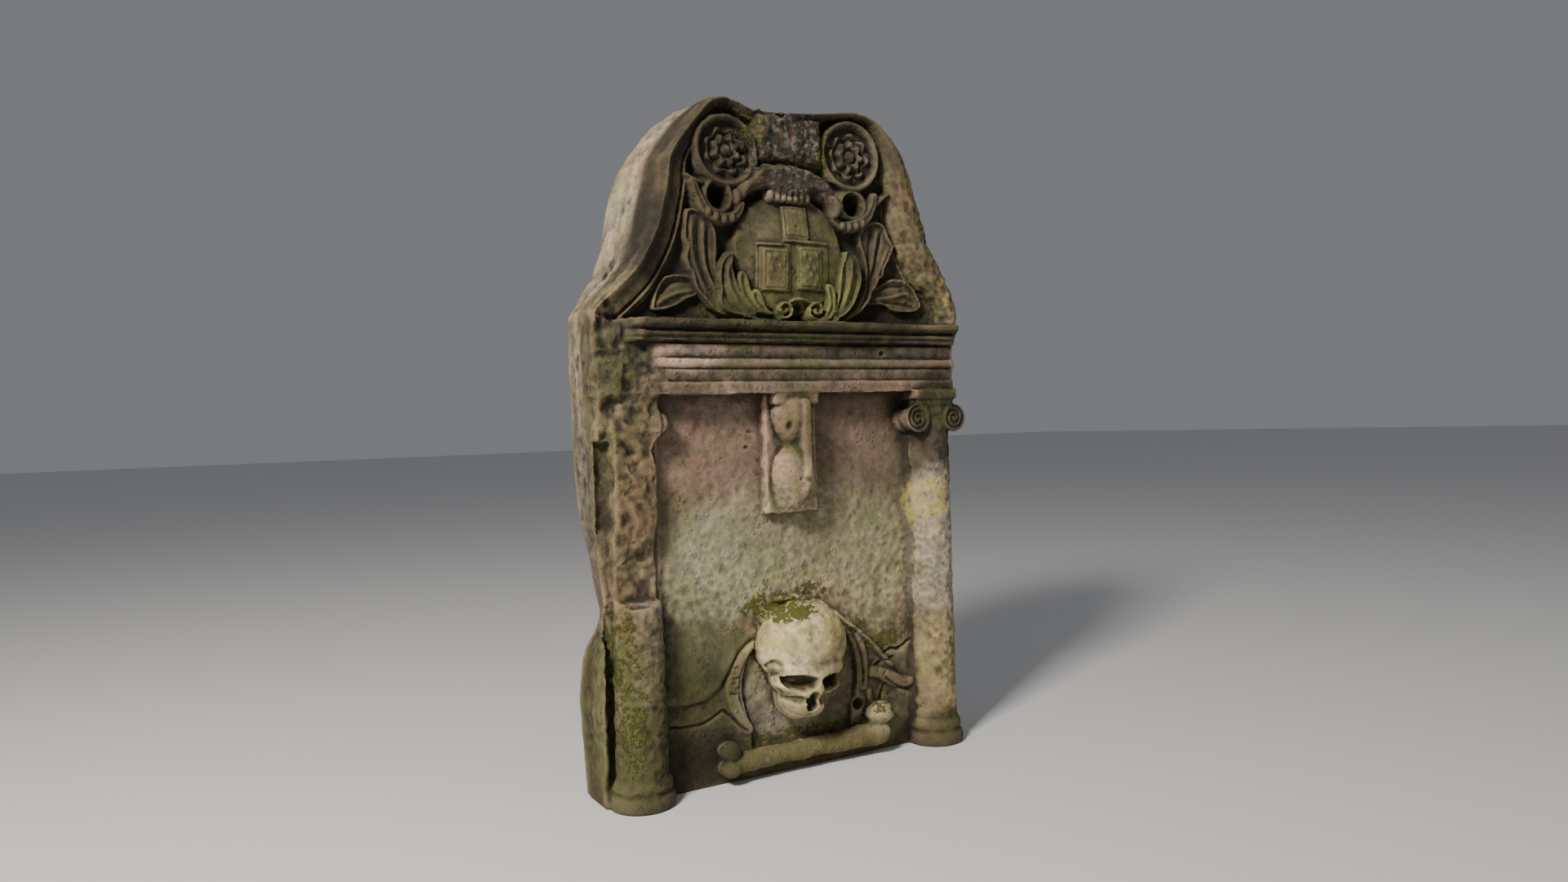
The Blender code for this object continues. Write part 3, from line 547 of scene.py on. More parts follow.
@dataclass(frozen=True)
class Rosette:
    """A scroll end: a raised ring round a scalloped flower; reaches are shares of the radius."""

    centre: Place
    radius: float
    turn: float = 0.0
    petals: int = 8
    flower_reach: float = 0.64
    flower_rise: float = 0.009
    dish_edge: float = 0.8
    dish_depth: float = 0.004
    gap_depth: float = 0.003
    boss_reach: float = 0.15
    boss_rise: float = 0.008
    ring: Path2D = (
        (0.0, 0.055), (0.74, 0.055), (0.8, 0.054), (0.85, 0.062), (0.93, 0.066), (0.985, 0.06),
        (1.0, 0.045),
    )

    def carve(self, relief: Relief) -> None:
        """Cuts the ring, the scalloped edge, the petals and the boss."""
        near, reach = relief.oval(self.centre, (self.radius, self.radius))
        across, up = (relief.places[near] - np.array(self.centre)).T
        angle = np.arctan2(up, across) + self.turn
        lobe = np.cos(self.petals * angle)
        lobed = self.flower_reach + 0.055 * lobe
        flower = self.flower_rise * np.clip(1.0 - (reach / lobed) ** 8, 0.0, 1.0)
        gap = self.gap_depth * smooth_step(reach, 0.12, 0.4) * (1.0 - lobe) * (reach < lobed)
        boss = self.boss_rise * np.clip(1.0 - (reach / self.boss_reach) ** 2, 0.0, 1.0)
        form = np.interp(reach, *zip(*self.ring)) - self.dish_depth * (reach < self.dish_edge) + flower
        ripples = (
            (0.005, lobed - 0.07, 0.05), (-0.006, 0.47 + 0.03 * lobe, 0.07),
            (0.005, 0.32 + 0.05 * lobe, 0.06), (-0.005, 0.19, 0.035),
        )
        for rise, at, width in ripples:
            form += rise * np.exp(-(((reach - at) / width) ** 2))
        relief.heights[near] = form - gap + boss


class Tier(Enum):
    """How far the tiers of leaves stand before the slab's middle plane."""

    CORNER = 0.05
    TALL = 0.058
    NEAR = 0.073
    NEARER = 0.075
    NEAREST = 0.076


@dataclass(frozen=True)
class Leaf:
    """A carved leaf with a drawn outline, a raised margin round a hollow, and veins."""

    tier: Tier
    hollow: float
    margin: float
    outline: Run
    grooves: tuple[Run, ...] = ()
    ridges: tuple[Run, ...] = ()
    groove_width: float = 0.006
    groove_depth: float = 0.004
    ridge_width: float = 0.008
    ridge_rise: float = 0.0045

    def carve(self, relief: Relief) -> None:
        """Cuts the leaf and its veins."""
        height = self.tier.value
        outline = relief.loop(self.outline, height)
        relief.plate(outline, relief.plan.field, height, WORN_EDGE, self.hollow, self.margin)
        veins = [(path, self.groove_width, -self.groove_depth) for path in self.grooves]
        veins += [(path, self.ridge_width, self.ridge_rise) for path in self.ridges]
        for path, width, rise in veins:
            relief.stroke(relief.curve(path, height), width, rise)


@dataclass(frozen=True)
class Foliage:
    """The leaves of the gable, the hindmost first, and the curls and stems between them.

    A curl is its middle, its radius and its hand.
    """

    curls: tuple[tuple[Run, float, int], ...] = (((-17.5, 831), 0.0165, 1), ((51.5, 831), 0.018, -1))
    curl_turns: float = 1.35
    curl_width: float = 0.0058
    stem_width: float = 0.0085
    eye: Run = (17, 832)
    eye_radius: float = 0.0125
    eye_floor: float = 0.046
    stems: tuple[Run, ...] = (
        (-100, 817, -70, 812, -35, 811, -16, 817),
        (100, 815, 80, 808, 62, 810, 52, 814),
        (-6, 843, 5, 849, 17, 850, 28, 849, 39, 844),
    )
    leaves: tuple[Leaf, ...] = (
        Leaf(Tier.CORNER, 0.008, 0.004,
             (-276, 822, -270.5, 848.7, -262, 867, -250, 880, -231, 885, -206, 884, -190, 872, -186, 858,
              -194, 847.5, -210, 842, -225.7, 832, -248, 823.5),
             grooves=((-200, 872, -235, 870, -258, 850),),
             ridges=((-196, 858, -225, 853, -250, 843, -268, 830),)),
        Leaf(Tier.CORNER, 0.006, 0.004,
             (160, 844, 174.7, 869, 202.3, 887, 226.7, 896, 254, 894, 275.7, 881, 291, 856.5, 292.5, 844,
              279, 833.6, 254, 831, 223.7, 833.6, 211.4, 842, 193, 844.5),
             grooves=((180, 866, 215, 880, 250, 882), (200, 848, 240, 848, 275, 843)),
             ridges=((180, 855, 220, 860, 255, 868, 278, 858),)),
        Leaf(Tier.TALL, 0.007, 0.005,
             (-206, 997, -212, 975, -213.5, 948, -208, 932, -212.5, 915, -205.5, 893, -200, 888, -196, 868,
              -186, 851.5, -176, 842, -161, 826, -145, 816, -120, 811, -90, 813, -115, 840, -140, 870, -150,
              900, -148, 935, -150, 965, -165, 985, -185, 999),
             grooves=((-183, 985, -185, 940, -179, 900, -162, 862, -130, 832), (-165, 970, -167, 930, -163,
                      893, -148, 862)),
             ridges=((-174, 980, -176, 935, -171, 897, -150, 856), (-195, 985, -199, 940, -190, 895, -170,
                     850))),
        Leaf(Tier.TALL, 0.007, 0.005,
             (107, 808, 144, 823, 160, 838, 171.7, 853.5, 178, 868, 190, 878, 195, 890, 207, 899, 209, 912,
              220, 930, 232, 953, 230, 963, 221, 975, 210, 998, 185, 1004, 158, 990, 148, 965, 158, 935,
              163, 905, 158, 870, 140, 840, 115, 820),
             grooves=((205, 985, 192, 940, 180, 900, 162, 855), (180, 990, 175, 950, 173, 910, 165, 880)),
             ridges=((222, 962, 203, 925, 188, 892, 165, 850, 130, 822), (193, 985, 184, 945, 176, 905))),
        Leaf(Tier.NEAR, 0.007, 0.004,
             (-112, 934, -124, 929, -140, 914, -146, 890, -144, 866, -148, 845, -140, 828, -120, 818, -90,
              815, -68, 820, -85, 836, -99, 854, -108, 874, -114, 893, -117, 908, -113, 922),
             grooves=((-134, 905, -137, 870, -126, 840, -100, 824),),
             ridges=((-120, 920, -128, 895, -124, 865, -108, 838),)),
        Leaf(Tier.NEARER, 0.006, 0.0035,
             (-99.5, 899, -108, 888, -107, 868, -101, 850, -88, 833, -70, 822, -50, 820, -62, 834, -75, 850,
              -82, 868, -86, 885, -92, 896),
             grooves=((-98, 890, -95, 868, -86, 847, -68, 829),)),
        Leaf(Tier.NEAREST, 0.005, 0.003,
             (-73, 867, -85, 860, -83, 845, -73, 831, -58, 821, -40, 817, -35, 825, -48, 833, -55, 848, -62,
              862),
             grooves=((-75, 858, -69, 842, -54, 828),)),
        Leaf(Tier.NEAR, 0.007, 0.004,
             (122, 945, 138, 944, 149, 932, 156, 912, 158, 890, 151, 868, 141, 846, 125, 828, 105, 816, 85,
              812, 90, 826, 98, 850, 102, 872, 104, 890, 108, 910, 116, 928),
             grooves=((121, 925, 120, 895, 113, 862, 100, 832), (147, 905, 143, 880, 130, 850)),
             ridges=((134, 932, 133, 905, 126, 875, 112, 840),)),
        Leaf(Tier.NEARER, 0.005, 0.0035,
             (77, 882, 90, 881, 98, 868, 99, 850, 97, 832, 86, 815, 70, 810, 56, 815, 69, 823, 78, 836, 81,
              850, 78, 864, 74, 873),
             grooves=((85, 872, 89, 850, 86, 832, 74, 818),)),
    )

    def carve(self, relief: Relief) -> None:
        """Cuts every leaf, then the two curls and the stems between them."""
        field, height = relief.plan.field, Tier.NEAR.value
        for leaf in self.leaves:
            leaf.carve(relief)
        for centre, radius, hand in self.curls:
            middle = relief.spot(centre, height)
            relief.egg(middle, (radius, radius), field, height - 0.005)
            turns = np.linspace(0.0, 1.0, 22)
            angle = -0.5 * math.pi + hand * 2.0 * math.pi * self.curl_turns * turns
            coil = coil_path(middle, radius * (1.0 - 0.82 * turns), angle)
            relief.band(coil, self.curl_width, field, height + 0.004, 0.0028)
        for stem in self.stems:
            relief.band(relief.curve(stem, height), self.stem_width, field, height + 0.002, 0.004, 0.3)
        relief.pit(relief.spot(self.eye, height), (self.eye_radius, self.eye_radius), self.eye_floor, 0.4)


@dataclass(frozen=True)
class Cartouche:
    """The swelling shield with a castle in low relief.

    A block of the castle is its rise and its box, and a window is its radius and its place.
    """

    centre: Run = (4, 933)
    radii: Place = (0.118, 0.112)
    edge: float = 0.055
    swell: float = 0.017
    frame_inset: float = 0.0055
    frame_depth: float = 0.0018
    blocks: tuple[tuple[float, Run], ...] = (
        (0.005, (-18, 957, 37, 1018)), (0.003, (-73, 862, -3, 948)), (0.004, (-61, 864, -9, 938)),
        (0.003, (9, 866, 81, 953)), (0.004, (13, 868, 64, 944)), (0.006, (-20, 950, 81, 957)),
        (0.005, (-73, 942, -20, 949)),
    )
    windows: tuple[tuple[float, Run], ...] = ((0.0035, (9.5, 980)), (0.0025, (13, 1000)))
    bumps: Run = (
        -50, 922, -36, 925, -22, 918, -46, 900, -30, 905, 22, 928, 34, 921, 48, 930, 28, 907, 43, 905, 50,
        888, 35, 893, 46, 874,
    )

    def carve(self, relief: Relief) -> None:
        """Cuts the shield, then the castle's plates, frames and openings."""
        top = self.edge + self.swell
        near, reach = relief.oval(relief.spot(self.centre, top), self.radii)
        rim = 1.0 - np.clip((reach - 0.94) / 0.06, 0.0, 1.0) ** 2
        field = relief.plan.field
        relief.lift(near, field + (self.edge - field) * rim + self.swell * (1.0 - reach**2))
        self.castle(relief, top)

    def castle(self, relief: Relief, top: float) -> None:
        """Raises the castle a few millimetres from the shield.

        Args:
            relief: the front that is cut.
            top: the height at which the castle is drawn.
        """
        for rise, (left, low, right, high) in self.blocks:
            near, depth = relief.inside(relief.drawn((left, low, right, low, right, high, left, high), top))
            relief.heights[near] += rise * smooth_step(depth, 0.0, 0.0025)
            frame = np.exp(-(((depth - self.frame_inset) / 0.002) ** 2))
            relief.heights[near] -= self.frame_depth * frame
        for radius, place in self.windows:
            relief.pit(relief.spot(place, top), (radius, radius), 0.06, 0.8)
        for place in relief.drawn(self.bumps, top):
            relief.stroke(np.array((place, place + np.array((0.004, 0.002)))), 0.009, 0.0035)


@dataclass(frozen=True)
class Crest:
    """The shell over the shield and the arms that fall from it."""

    height: float = 0.079
    rim: float = 0.015
    scallops: int = 7
    scallop_pitch: float = 12.8
    flute_pitch: float = 12.4
    scallop_radii: Place = (0.0066, 0.01)
    first_scallop: Run = (-36, 1034)
    first_flute: Run = (-29.6, 1028, -29, 1050)
    flute_width: float = 0.0036
    flute_depth: float = 0.0025
    arris: Run = (-90, 1052, -50, 1078, 20, 1084, 70, 1072, 105, 1035)
    outline: Run = (
        -52, 1090, -20, 1095, 20, 1094.5, 60, 1086, 90, 1068, 108, 1046, 123, 1030, 117, 1008, 103, 998, 91,
        1006, 88, 1026, 78, 1038, 62, 1044, 50, 1042, 42, 1031, 33, 1027, 24, 1031, 16, 1025, 7, 1030, -2,
        1025, -10, 1030, -20, 1027, -28, 1033, -36, 1037, -43, 1046, -58, 1043, -75, 1034, -89, 1020, -100,
        1030, -100, 1045, -90, 1060, -70, 1078,
    )

    def carve(self, relief: Relief) -> None:
        """Cuts the crest, its scalloped foot and its arris."""
        top, (x, z), (foot_x, foot_z, head_x, head_z) = self.height, self.first_scallop, self.first_flute
        relief.plate(relief.loop(self.outline, top), relief.plan.field, top, self.rim)
        for k in range(self.scallops):
            step = self.scallop_pitch * k
            relief.egg(relief.spot((x + step, z), top), self.scallop_radii, top - 0.01, top - 0.001)
            flute = (foot_x + step, foot_z, head_x + self.flute_pitch * k, head_z)
            relief.stroke(relief.drawn(flute, top), self.flute_width, -self.flute_depth)
        relief.stroke(relief.curve(self.arris, top), 0.012, 0.003)


@dataclass(frozen=True)
class Strap:
    """A scrolled strap round a deep hole, with a row of eggs along its lower edge."""

    hole: Run
    hole_radii: Place
    scroll: Run
    scroll_radii: Place
    route: Run
    horn: Run
    eggs: Run
    height: float = 0.066
    hole_floor: float = 0.022
    collar: float = 1.62
    width: float = 0.027
    horn_width: float = 0.015
    egg_radii: Place = (0.0068, 0.0088)

    def carve(self, relief: Relief) -> None:
        """Cuts the strap, its horn, its hole and its eggs."""
        field, top = relief.plan.field, self.height
        hole, collar = relief.spot(self.hole, top), np.array(self.hole_radii) * self.collar
        relief.egg(hole, collar, field + 0.004, top + 0.004)
        relief.pit(hole, self.hole_radii, self.hole_floor, 0.22)
        route = relief.curve(self.route, top)
        relief.band(route, self.width, field, top, WORN_EDGE, 0.35)
        relief.stroke(route, 0.005, -0.002)
        horn = relief.curve(self.horn, top)
        relief.band(horn, self.horn_width, field, top - 0.003, WORN_EDGE, 0.5)
        for place in relief.drawn(self.eggs, top):
            relief.egg(place, self.egg_radii, top - 0.004, top + 0.0055)
        relief.egg(relief.spot(self.scroll, top), self.scroll_radii, field - 0.01, top + 0.004)


@dataclass(frozen=True)
class Gable:
    """Everything carved above the cornice."""

    plan: Plan
    outline: Array
    block: Path2D = ((-0.17, 0.715), (0.21, 0.715), (0.21, 0.95), (-0.17, 0.95))
    block_bevel: float = 0.016
    straps: tuple[Strap, ...] = (
        Strap((-142.5, 1025), (0.0235, 0.0255), (-106, 1024), (0.0135, 0.023),
              (-192, 1046, -181, 1020, -170, 1000, -150, 988, -128, 986, -107, 995, -97, 1012),
              (-168, 1045, -185, 1047, -203, 1058), (-166, 995, -151, 987, -135, 983, -119, 986)),
        Strap((140, 1030), (0.0265, 0.0225), (110, 1024), (0.0105, 0.017),
              (94, 1000, 108, 992, 130, 991, 153, 997, 172, 1010, 184, 1030, 190, 1050),
              (176, 1020, 198, 1040, 226, 1058), (112, 988, 127, 987, 143, 990, 158, 996)),
    )
    rosettes: tuple[Rosette, ...] = (
        Rosette((-0.1224, 1.1185), 0.0637, 0.4), Rosette((0.1398, 1.1336), 0.0663, 0.1),
    )

    def carve(self, relief: Relief) -> None:
        """Cuts the gable's forms, the hindmost first."""
        for form in (GableRim(self.plan, self.outline), Cartouche(), Foliage(), *self.straps, Crest()):
            form.carve(relief)
        block = self.plan.gable(self.block)
        relief.plate(block, self.plan.field, self.plan.face - 0.003, self.block_bevel)
        for rosette in self.rosettes:
            rosette.carve(relief)


@dataclass(frozen=True)
class Panel:
    """The sunken panel with the plaque, the niche and the cloth and ribbons round the skull.

    A strip is its width, rise, taper, rim and route.
    """

    plan: Plan
    plaque_half: float = 0.056
    plaque_height: float = 0.218
    plaque_rise: float = 0.02
    fillet: float = 0.012
    soft_edge: float = 0.012
    niche_floor: float = 0.0195
    remnant: Place = (-0.268, 0.645)
    remnant_radii: Place = (0.0255, 0.023)
    cloth_rise: float = 0.0065
    cloth_foot: Run = (0, 190)
    cloth_fade: float = 0.12
    cord_width: float = 0.0135
    eyelet: Run = (116, 98)
    eyelet_radii: Place = (0.0125, 0.013)
    line_width: float = 0.005
    line_depth: float = 0.0065
    mark_width: float = 0.0035
    mark_depth: float = 0.003
    niche_outline: Run = (
        -108, 232, -124, 200, -131, 165, -126, 128, -114, 90, -105, 50, 0, 45, 90, 50, 104, 90, 116, 130,
        118, 170, 110, 210, 92, 242, 55, 264, 0, 270, -60, 262,
    )
    cloth_outline: Run = (
        0, 330, -85, 262, -112, 252, -136, 232, -156, 198, -176, 171, -202, 155, -240, 151, -300, 158, -300,
        330,
    )
    cord: Run = (
        -50, 310.5, -15, 311.5, 18, 305, 52, 288, 94.6, 256, 148, 213, 198, 160,
    )
    strips: tuple[tuple[float, float, float, float, Run], ...] = (
        (0.026, 0.004, 0.25, 0.004, (-90, 248, -117, 232, -138, 202, -147, 170, -144, 140, -131, 112, -117,
         90)),
        (0.02, 0.004, 0.2, 0.004, (100, 255, 122, 222, 132, 190, 134, 160, 131, 128)),
        (0.03, 0.008, 0.25, 0.009, (154, 152, 174, 146, 196, 134, 220, 124, 240, 122)),
        (0.016, 0.004, 0.2, 0.004, (142, 118, 146, 100, 152, 86)),
    )
    worn_lines: tuple[Run, ...] = (
        (-80, 253.5, -108, 247.5, -134, 227, -155, 195, -168, 172),
        (-275, 119, -220, 114, -194, 119.5, -167.5, 132.7),
        (98, 247.5, 116, 216, 124.5, 188, 128, 152, 124, 130),
        (-167.5, 132.7, -150, 118, -132, 98, -118, 86),
        (154, 164, 175, 172, 201, 175),
        (173, 142, 200, 122, 236, 105),
        (164.5, 87, 169, 110, 180, 130),
        (166, 188, 180, 186.5, 195, 191.5, 210, 189, 225, 195, 245, 209),
    )
    left_marks: int = 7
    right_marks: int = 3

    def carve(self, relief: Relief) -> None:
        """Cuts the panel's flat forms."""
        plan = self.plan
        x, z = relief.places.T
        below = z < plan.frieze_bottom
        inner = np.minimum(plan.right_column_x - x, x - plan.left_column_x) - plan.column_radius
        fillet = self.fillet * (1.0 - crown(inner + 0.002, 0.014))
        relief.heights[below] = (plan.panel + fillet)[below]
        self.niche(relief)
        self.cloth(relief)
        self.marks(relief)
        self.plaque(relief)
        turns = np.linspace(0.0, 2.0 * math.pi, 24, endpoint=False)
        lobe = coil_path((0.0, 0.0), 1.0, turns) * self.remnant_radii + self.remnant
        relief.plate(lobe, plan.panel, plan.face - 0.009, self.soft_edge)

    def plaque(self, relief: Relief) -> None:
        """Raises the plaque that carries the hourglass."""
        plan, half = self.plan, self.plaque_half
        bottom = plan.frieze_bottom - self.plaque_height
        corners = np.array(((-half, bottom), (half, bottom), (half, plan.cornice_top),
                            (-half, plan.cornice_top)))
        near, depth = relief.inside(corners)
        below = relief.places[near, 1] < plan.frieze_bottom
        relief.lift(near[below], plan.panel + self.plaque_rise * crown(depth[below], 0.004))

    def niche(self, relief: Relief) -> None:
        """Sinks the niche behind the skull."""
        near, depth = relief.inside(relief.loop(self.niche_outline, self.plan.panel))
        share = smooth_step(depth, 0.0, 0.005)
        relief.heights[near] += (self.niche_floor - self.plan.panel) * share

    def cloth(self, relief: Relief) -> None:
        """Raises the cloth, the cord and the ribbon ends."""
        panel = self.plan.panel
        near, depth = relief.inside(relief.drawn(self.cloth_outline, panel))
        low = relief.places[near, 1] - relief.spot(self.cloth_foot, panel)[1]
        fade = 1.0 - smooth_step(low, 0.0, self.cloth_fade)
        relief.heights[near] += self.cloth_rise * crown(depth, self.soft_edge) * fade
        for width, rise, taper, bevel, points in self.strips:
            path = relief.curve(points, panel + rise)
            relief.band(path, width, panel - 0.002, panel + rise, bevel, taper)
        path = relief.curve(self.cord, panel + 0.011)
        relief.band(path, self.cord_width, panel - 0.002, panel + 0.012, 0.0065, 0.15)
        relief.pit(relief.spot(self.eyelet, panel), self.eyelet_radii, 0.008, 0.6)

    def marks(self, relief: Relief) -> None:
        """Cuts the thin worn lines and the rows of short strokes."""
        panel = self.plan.panel
        for points in self.worn_lines:
            relief.stroke(relief.curve(points, panel), self.line_width, -self.line_depth)
        dice = np.random.default_rng(17)
        marks = []
        for k in range(self.left_marks):
            tilt = dice.uniform(-0.3, 0.9)
            reach = dice.uniform(4, 8) * np.array((math.cos(tilt), math.sin(tilt)))
            marks.append((np.array((-147 + 6 * (k % 2), 212 - 9 * k)), reach))
        marks += [(np.array((150 + 12 * k, 172 - 11 * k)), 6) for k in range(self.right_marks)]
        for middle, reach in marks:
            ends = relief.drawn((*(middle - reach), *(middle + reach)), panel)
            relief.stroke(ends, self.mark_width, -self.mark_depth)


@dataclass(frozen=True)
class StoneBlock:
    """The slab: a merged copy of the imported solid, reskinned so that it can be carved.

    The outlines are shares of the gable's half width and height. The gully and the ridge have
    their place across from the stump's middle, their width and their depth.
    """

    plan: Plan
    sight: Sight
    skin: float = 0.003
    fine_skin: float = 0.0025
    merge: float = 1e-5
    inset: float = 0.004
    right_end: float = 0.356
    snap: float = 0.0035
    gully: Triple = (-0.05, 0.007, 0.02)
    ridge: Triple = (-0.066, 0.01, -0.02)
    break_depth: float = 0.019
    back_strip_depth: float = 0.009
    foot: Place = (-0.3727, 0.3659)
    right_outline: Path2D = (
        (0.98, -0.03), (1.013, 0.04), (1.0, 0.17), (0.92, 0.275), (0.85, 0.39), (0.795, 0.53),
        (0.755, 0.67), (0.7, 0.8), (0.61, 0.905), (0.5, 0.978), (0.39, 1.0), (0.25, 0.983),
    )
    top_outline: Path2D = (
        (0.08, 0.962), (-0.07, 0.952), (-0.18, 0.95), (-0.24, 0.975), (-0.32, 0.992),
    )
    left_outline: Path2D = (
        (-0.395, 0.968), (-0.465, 0.9), (-0.55, 0.81), (-0.62, 0.71), (-0.65, 0.57), (-0.685, 0.43),
        (-0.735, 0.32), (-0.81, 0.21), (-0.92, 0.11), (-1.01, 0.03), (-0.99, -0.03),
    )

    def outline(self) -> Array:
        """The gable's front arris as (x, z) rows, closed through the entablature."""
        shares = self.right_outline + self.top_outline + self.left_outline
        left, right = self.foot
        foot = np.array(((left, self.plan.frieze_bottom), (right, self.plan.frieze_bottom)))
        return np.vstack((smooth_path(self.plan.gable(shares), 3), foot))

    def copy_solid(self, solid: Piece) -> Piece:
        """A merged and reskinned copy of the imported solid.

        Args:
            solid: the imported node, which stays as it is.

        Returns:
            The copy, ready to be carved.
        """
        stone = solid.copy()
        stone.data = solid.data.copy()
        stone.name = stone.data.name = "carved_stone"
        for key in list(stone.keys()):
            del stone[key]
        stone.parent = None
        stone.matrix_world = Matrix.Identity(4)
        bpy.context.scene.collection.objects.link(stone)
        stone.data.materials.clear()
        select_only(stone)
        bpy.ops.object.mode_set(mode="EDIT")
        bpy.ops.mesh.select_all(action="SELECT")
        bpy.ops.mesh.remove_doubles(threshold=self.merge)
        bpy.ops.object.mode_set(mode="OBJECT")
        apply_modifier(stone, "REMESH", mode="VOXEL", voxel_size=self.skin)
        return stone

    def front(self, places: Array) -> Array:
        """Which vertices belong to the part of the front that is cut as relief."""
        plan = self.plan
        x, y, z = places.T
        flat = places[:, (0, 2)]
        found = np.zeros(len(places), bool)
        upper = (z > plan.frieze_bottom + 0.001) & (y < -0.01)
        found[upper] = outline_depth(flat[upper], self.outline()) > self.inset
        found &= (z > plan.cornice_top) | (x < self.right_end)
        found &= ~((z < plan.cornice_top - 0.01) & (x < -0.33))
        left = plan.left_column_x + plan.column_radius
        right = plan.right_column_x - plan.column_radius
        panel = (z <= plan.frieze_bottom + 0.001) & (y < -0.014) & (z > 0.004)
        return found | (panel & (x > left + 0.001) & (x < right - 0.001))

    def heights(self, places: Array) -> Array:
        """The relief's height at each (x, z) row."""
        relief = Relief(self.plan, self.sight, places, np.full(len(places), self.plan.panel))
        for part in (Panel(self.plan), Entablature(self.plan), Gable(self.plan, self.outline())):
            part.carve(relief)
        return relief.heights

    def carve(self, stone: Piece) -> None:
        """Cuts the front of the freshly reskinned stone."""
        places = read_places(stone.data)
        front = self.front(places)
        places[front, 1] = -self.heights(places[front][:, (0, 2)])
        places[:, 1] += self.undercut(places)
        write_places(stone.data, places)

    def undercut(self, places: Array) -> Array:
        """Deepens the gully left of the stump and the break over it.

        Args:
            places: the skin's (x, y, z) rows.

        Returns:
            How far each row moves back.
        """
        x, y, z = places.T
        x = x - self.plan.left_column_x
        stump = self.plan.stump_height
        beside = span(z, (0.02, 0.08), (0.31, 0.36))
        moved = self.break_depth * span(z, (stump + 0.001, stump + 0.006), (stump + 0.05, stump + 0.14))
        moved *= (np.abs(x) < 0.05) & (y < -0.035)
        for at, width, depth in (self.gully, self.ridge):
            moved += depth * np.exp(-(((x - at) / width) ** 2)) * beside
        strip = span(-x, (0.039, 0.043), (0.058, 0.066)) * span(z, (0.34, 0.39), (0.622, 0.636))
        return smooth_step(-y, -0.02, 0.01) * (moved + self.back_strip_depth * strip)

    def sharpen(self, stone: Piece) -> None:
        """Puts the front-facing vertices of the joined skin back on the exact relief."""
        places, normals = read_places(stone.data), read_normals(stone.data)
        front = self.front(places) & (normals[:, 1] < -0.35)
        heights = self.heights(places[front][:, (0, 2)])
        close = np.abs(places[front, 1] + heights) < self.snap
        numbers = np.flatnonzero(front)[close]
        places[numbers, 1] = -heights[close]
        write_places(stone.data, places)


class TurnedForm:
    """Round and rounded forms modelled from primitives."""

    @staticmethod
    def settle(name: str) -> Piece:
        """Names the newest form and puts its place, turn and size in its mesh."""
        form = bpy.context.active_object
        form.name = name
        bpy.ops.object.transform_apply(location=True, rotation=True, scale=True)
        return form

    @staticmethod
    def rings(name: str, profile: Path2D, sides: int, centre: Row,
              turn: Row = (0.0, 0.0, 0.0)) -> Piece:
        """A round form drawn up ring by ring.

        Args:
            name: the object's name.
            profile: pairs of radius and place along the axis.
            sides: how many sides the rings have.
            centre: where the axis starts.
            turn: how the axis is turned from +Z.

        Returns:
            The closed form.
        """
        bpy.ops.object.select_all(action="DESELECT")
        bpy.ops.mesh.primitive_circle_add(vertices=sides, radius=profile[0][0], fill_type="NGON",
                                          location=(0.0, 0.0, profile[0][1]))
        bpy.ops.object.mode_set(mode="EDIT")
        bpy.ops.mesh.select_all(action="SELECT")
        for (radius, place), (next_radius, next_place) in zip(profile, profile[1:]):
            move = {"value": (0.0, 0.0, next_place - place)}
            bpy.ops.mesh.extrude_region_move(TRANSFORM_OT_translate=move)
            scale = next_radius / radius
            bpy.ops.transform.resize(value=(scale, scale, 1.0), center_override=(0.0, 0.0, next_place))
        bpy.ops.mesh.select_all(action="SELECT")
        bpy.ops.mesh.normals_make_consistent(inside=False)
        bpy.ops.object.mode_set(mode="OBJECT")
        form = TurnedForm.settle(name)
        form.rotation_euler = turn
        form.location = centre
        return TurnedForm.settle(name)

    @staticmethod
    def egg(name: str, centre: Row, radii: Row, turn: float = 0.0) -> Piece:
        """An egg-shaped lump, tipped in the plane of the face by turn."""
        bpy.ops.object.select_all(action="DESELECT")
        bpy.ops.mesh.primitive_uv_sphere_add(segments=36, ring_count=22, radius=1.0, location=centre,
                                             scale=radii, rotation=(0.0, -turn, 0.0))
        return TurnedForm.settle(name)

    @staticmethod
    def block(name: str, low: Row, high: Row, bevel: float) -> Piece:
        """A squared block with worn edges."""
        bpy.ops.object.select_all(action="DESELECT")
        middle = [0.5 * (a + b) for a, b in zip(low, high)]
        size = [b - a for a, b in zip(low, high)]
        bpy.ops.mesh.primitive_cube_add(size=1.0, location=middle, scale=size)
        form = TurnedForm.settle(name)
        apply_modifier(form, "BEVEL", width=bevel, segments=3)
        return form


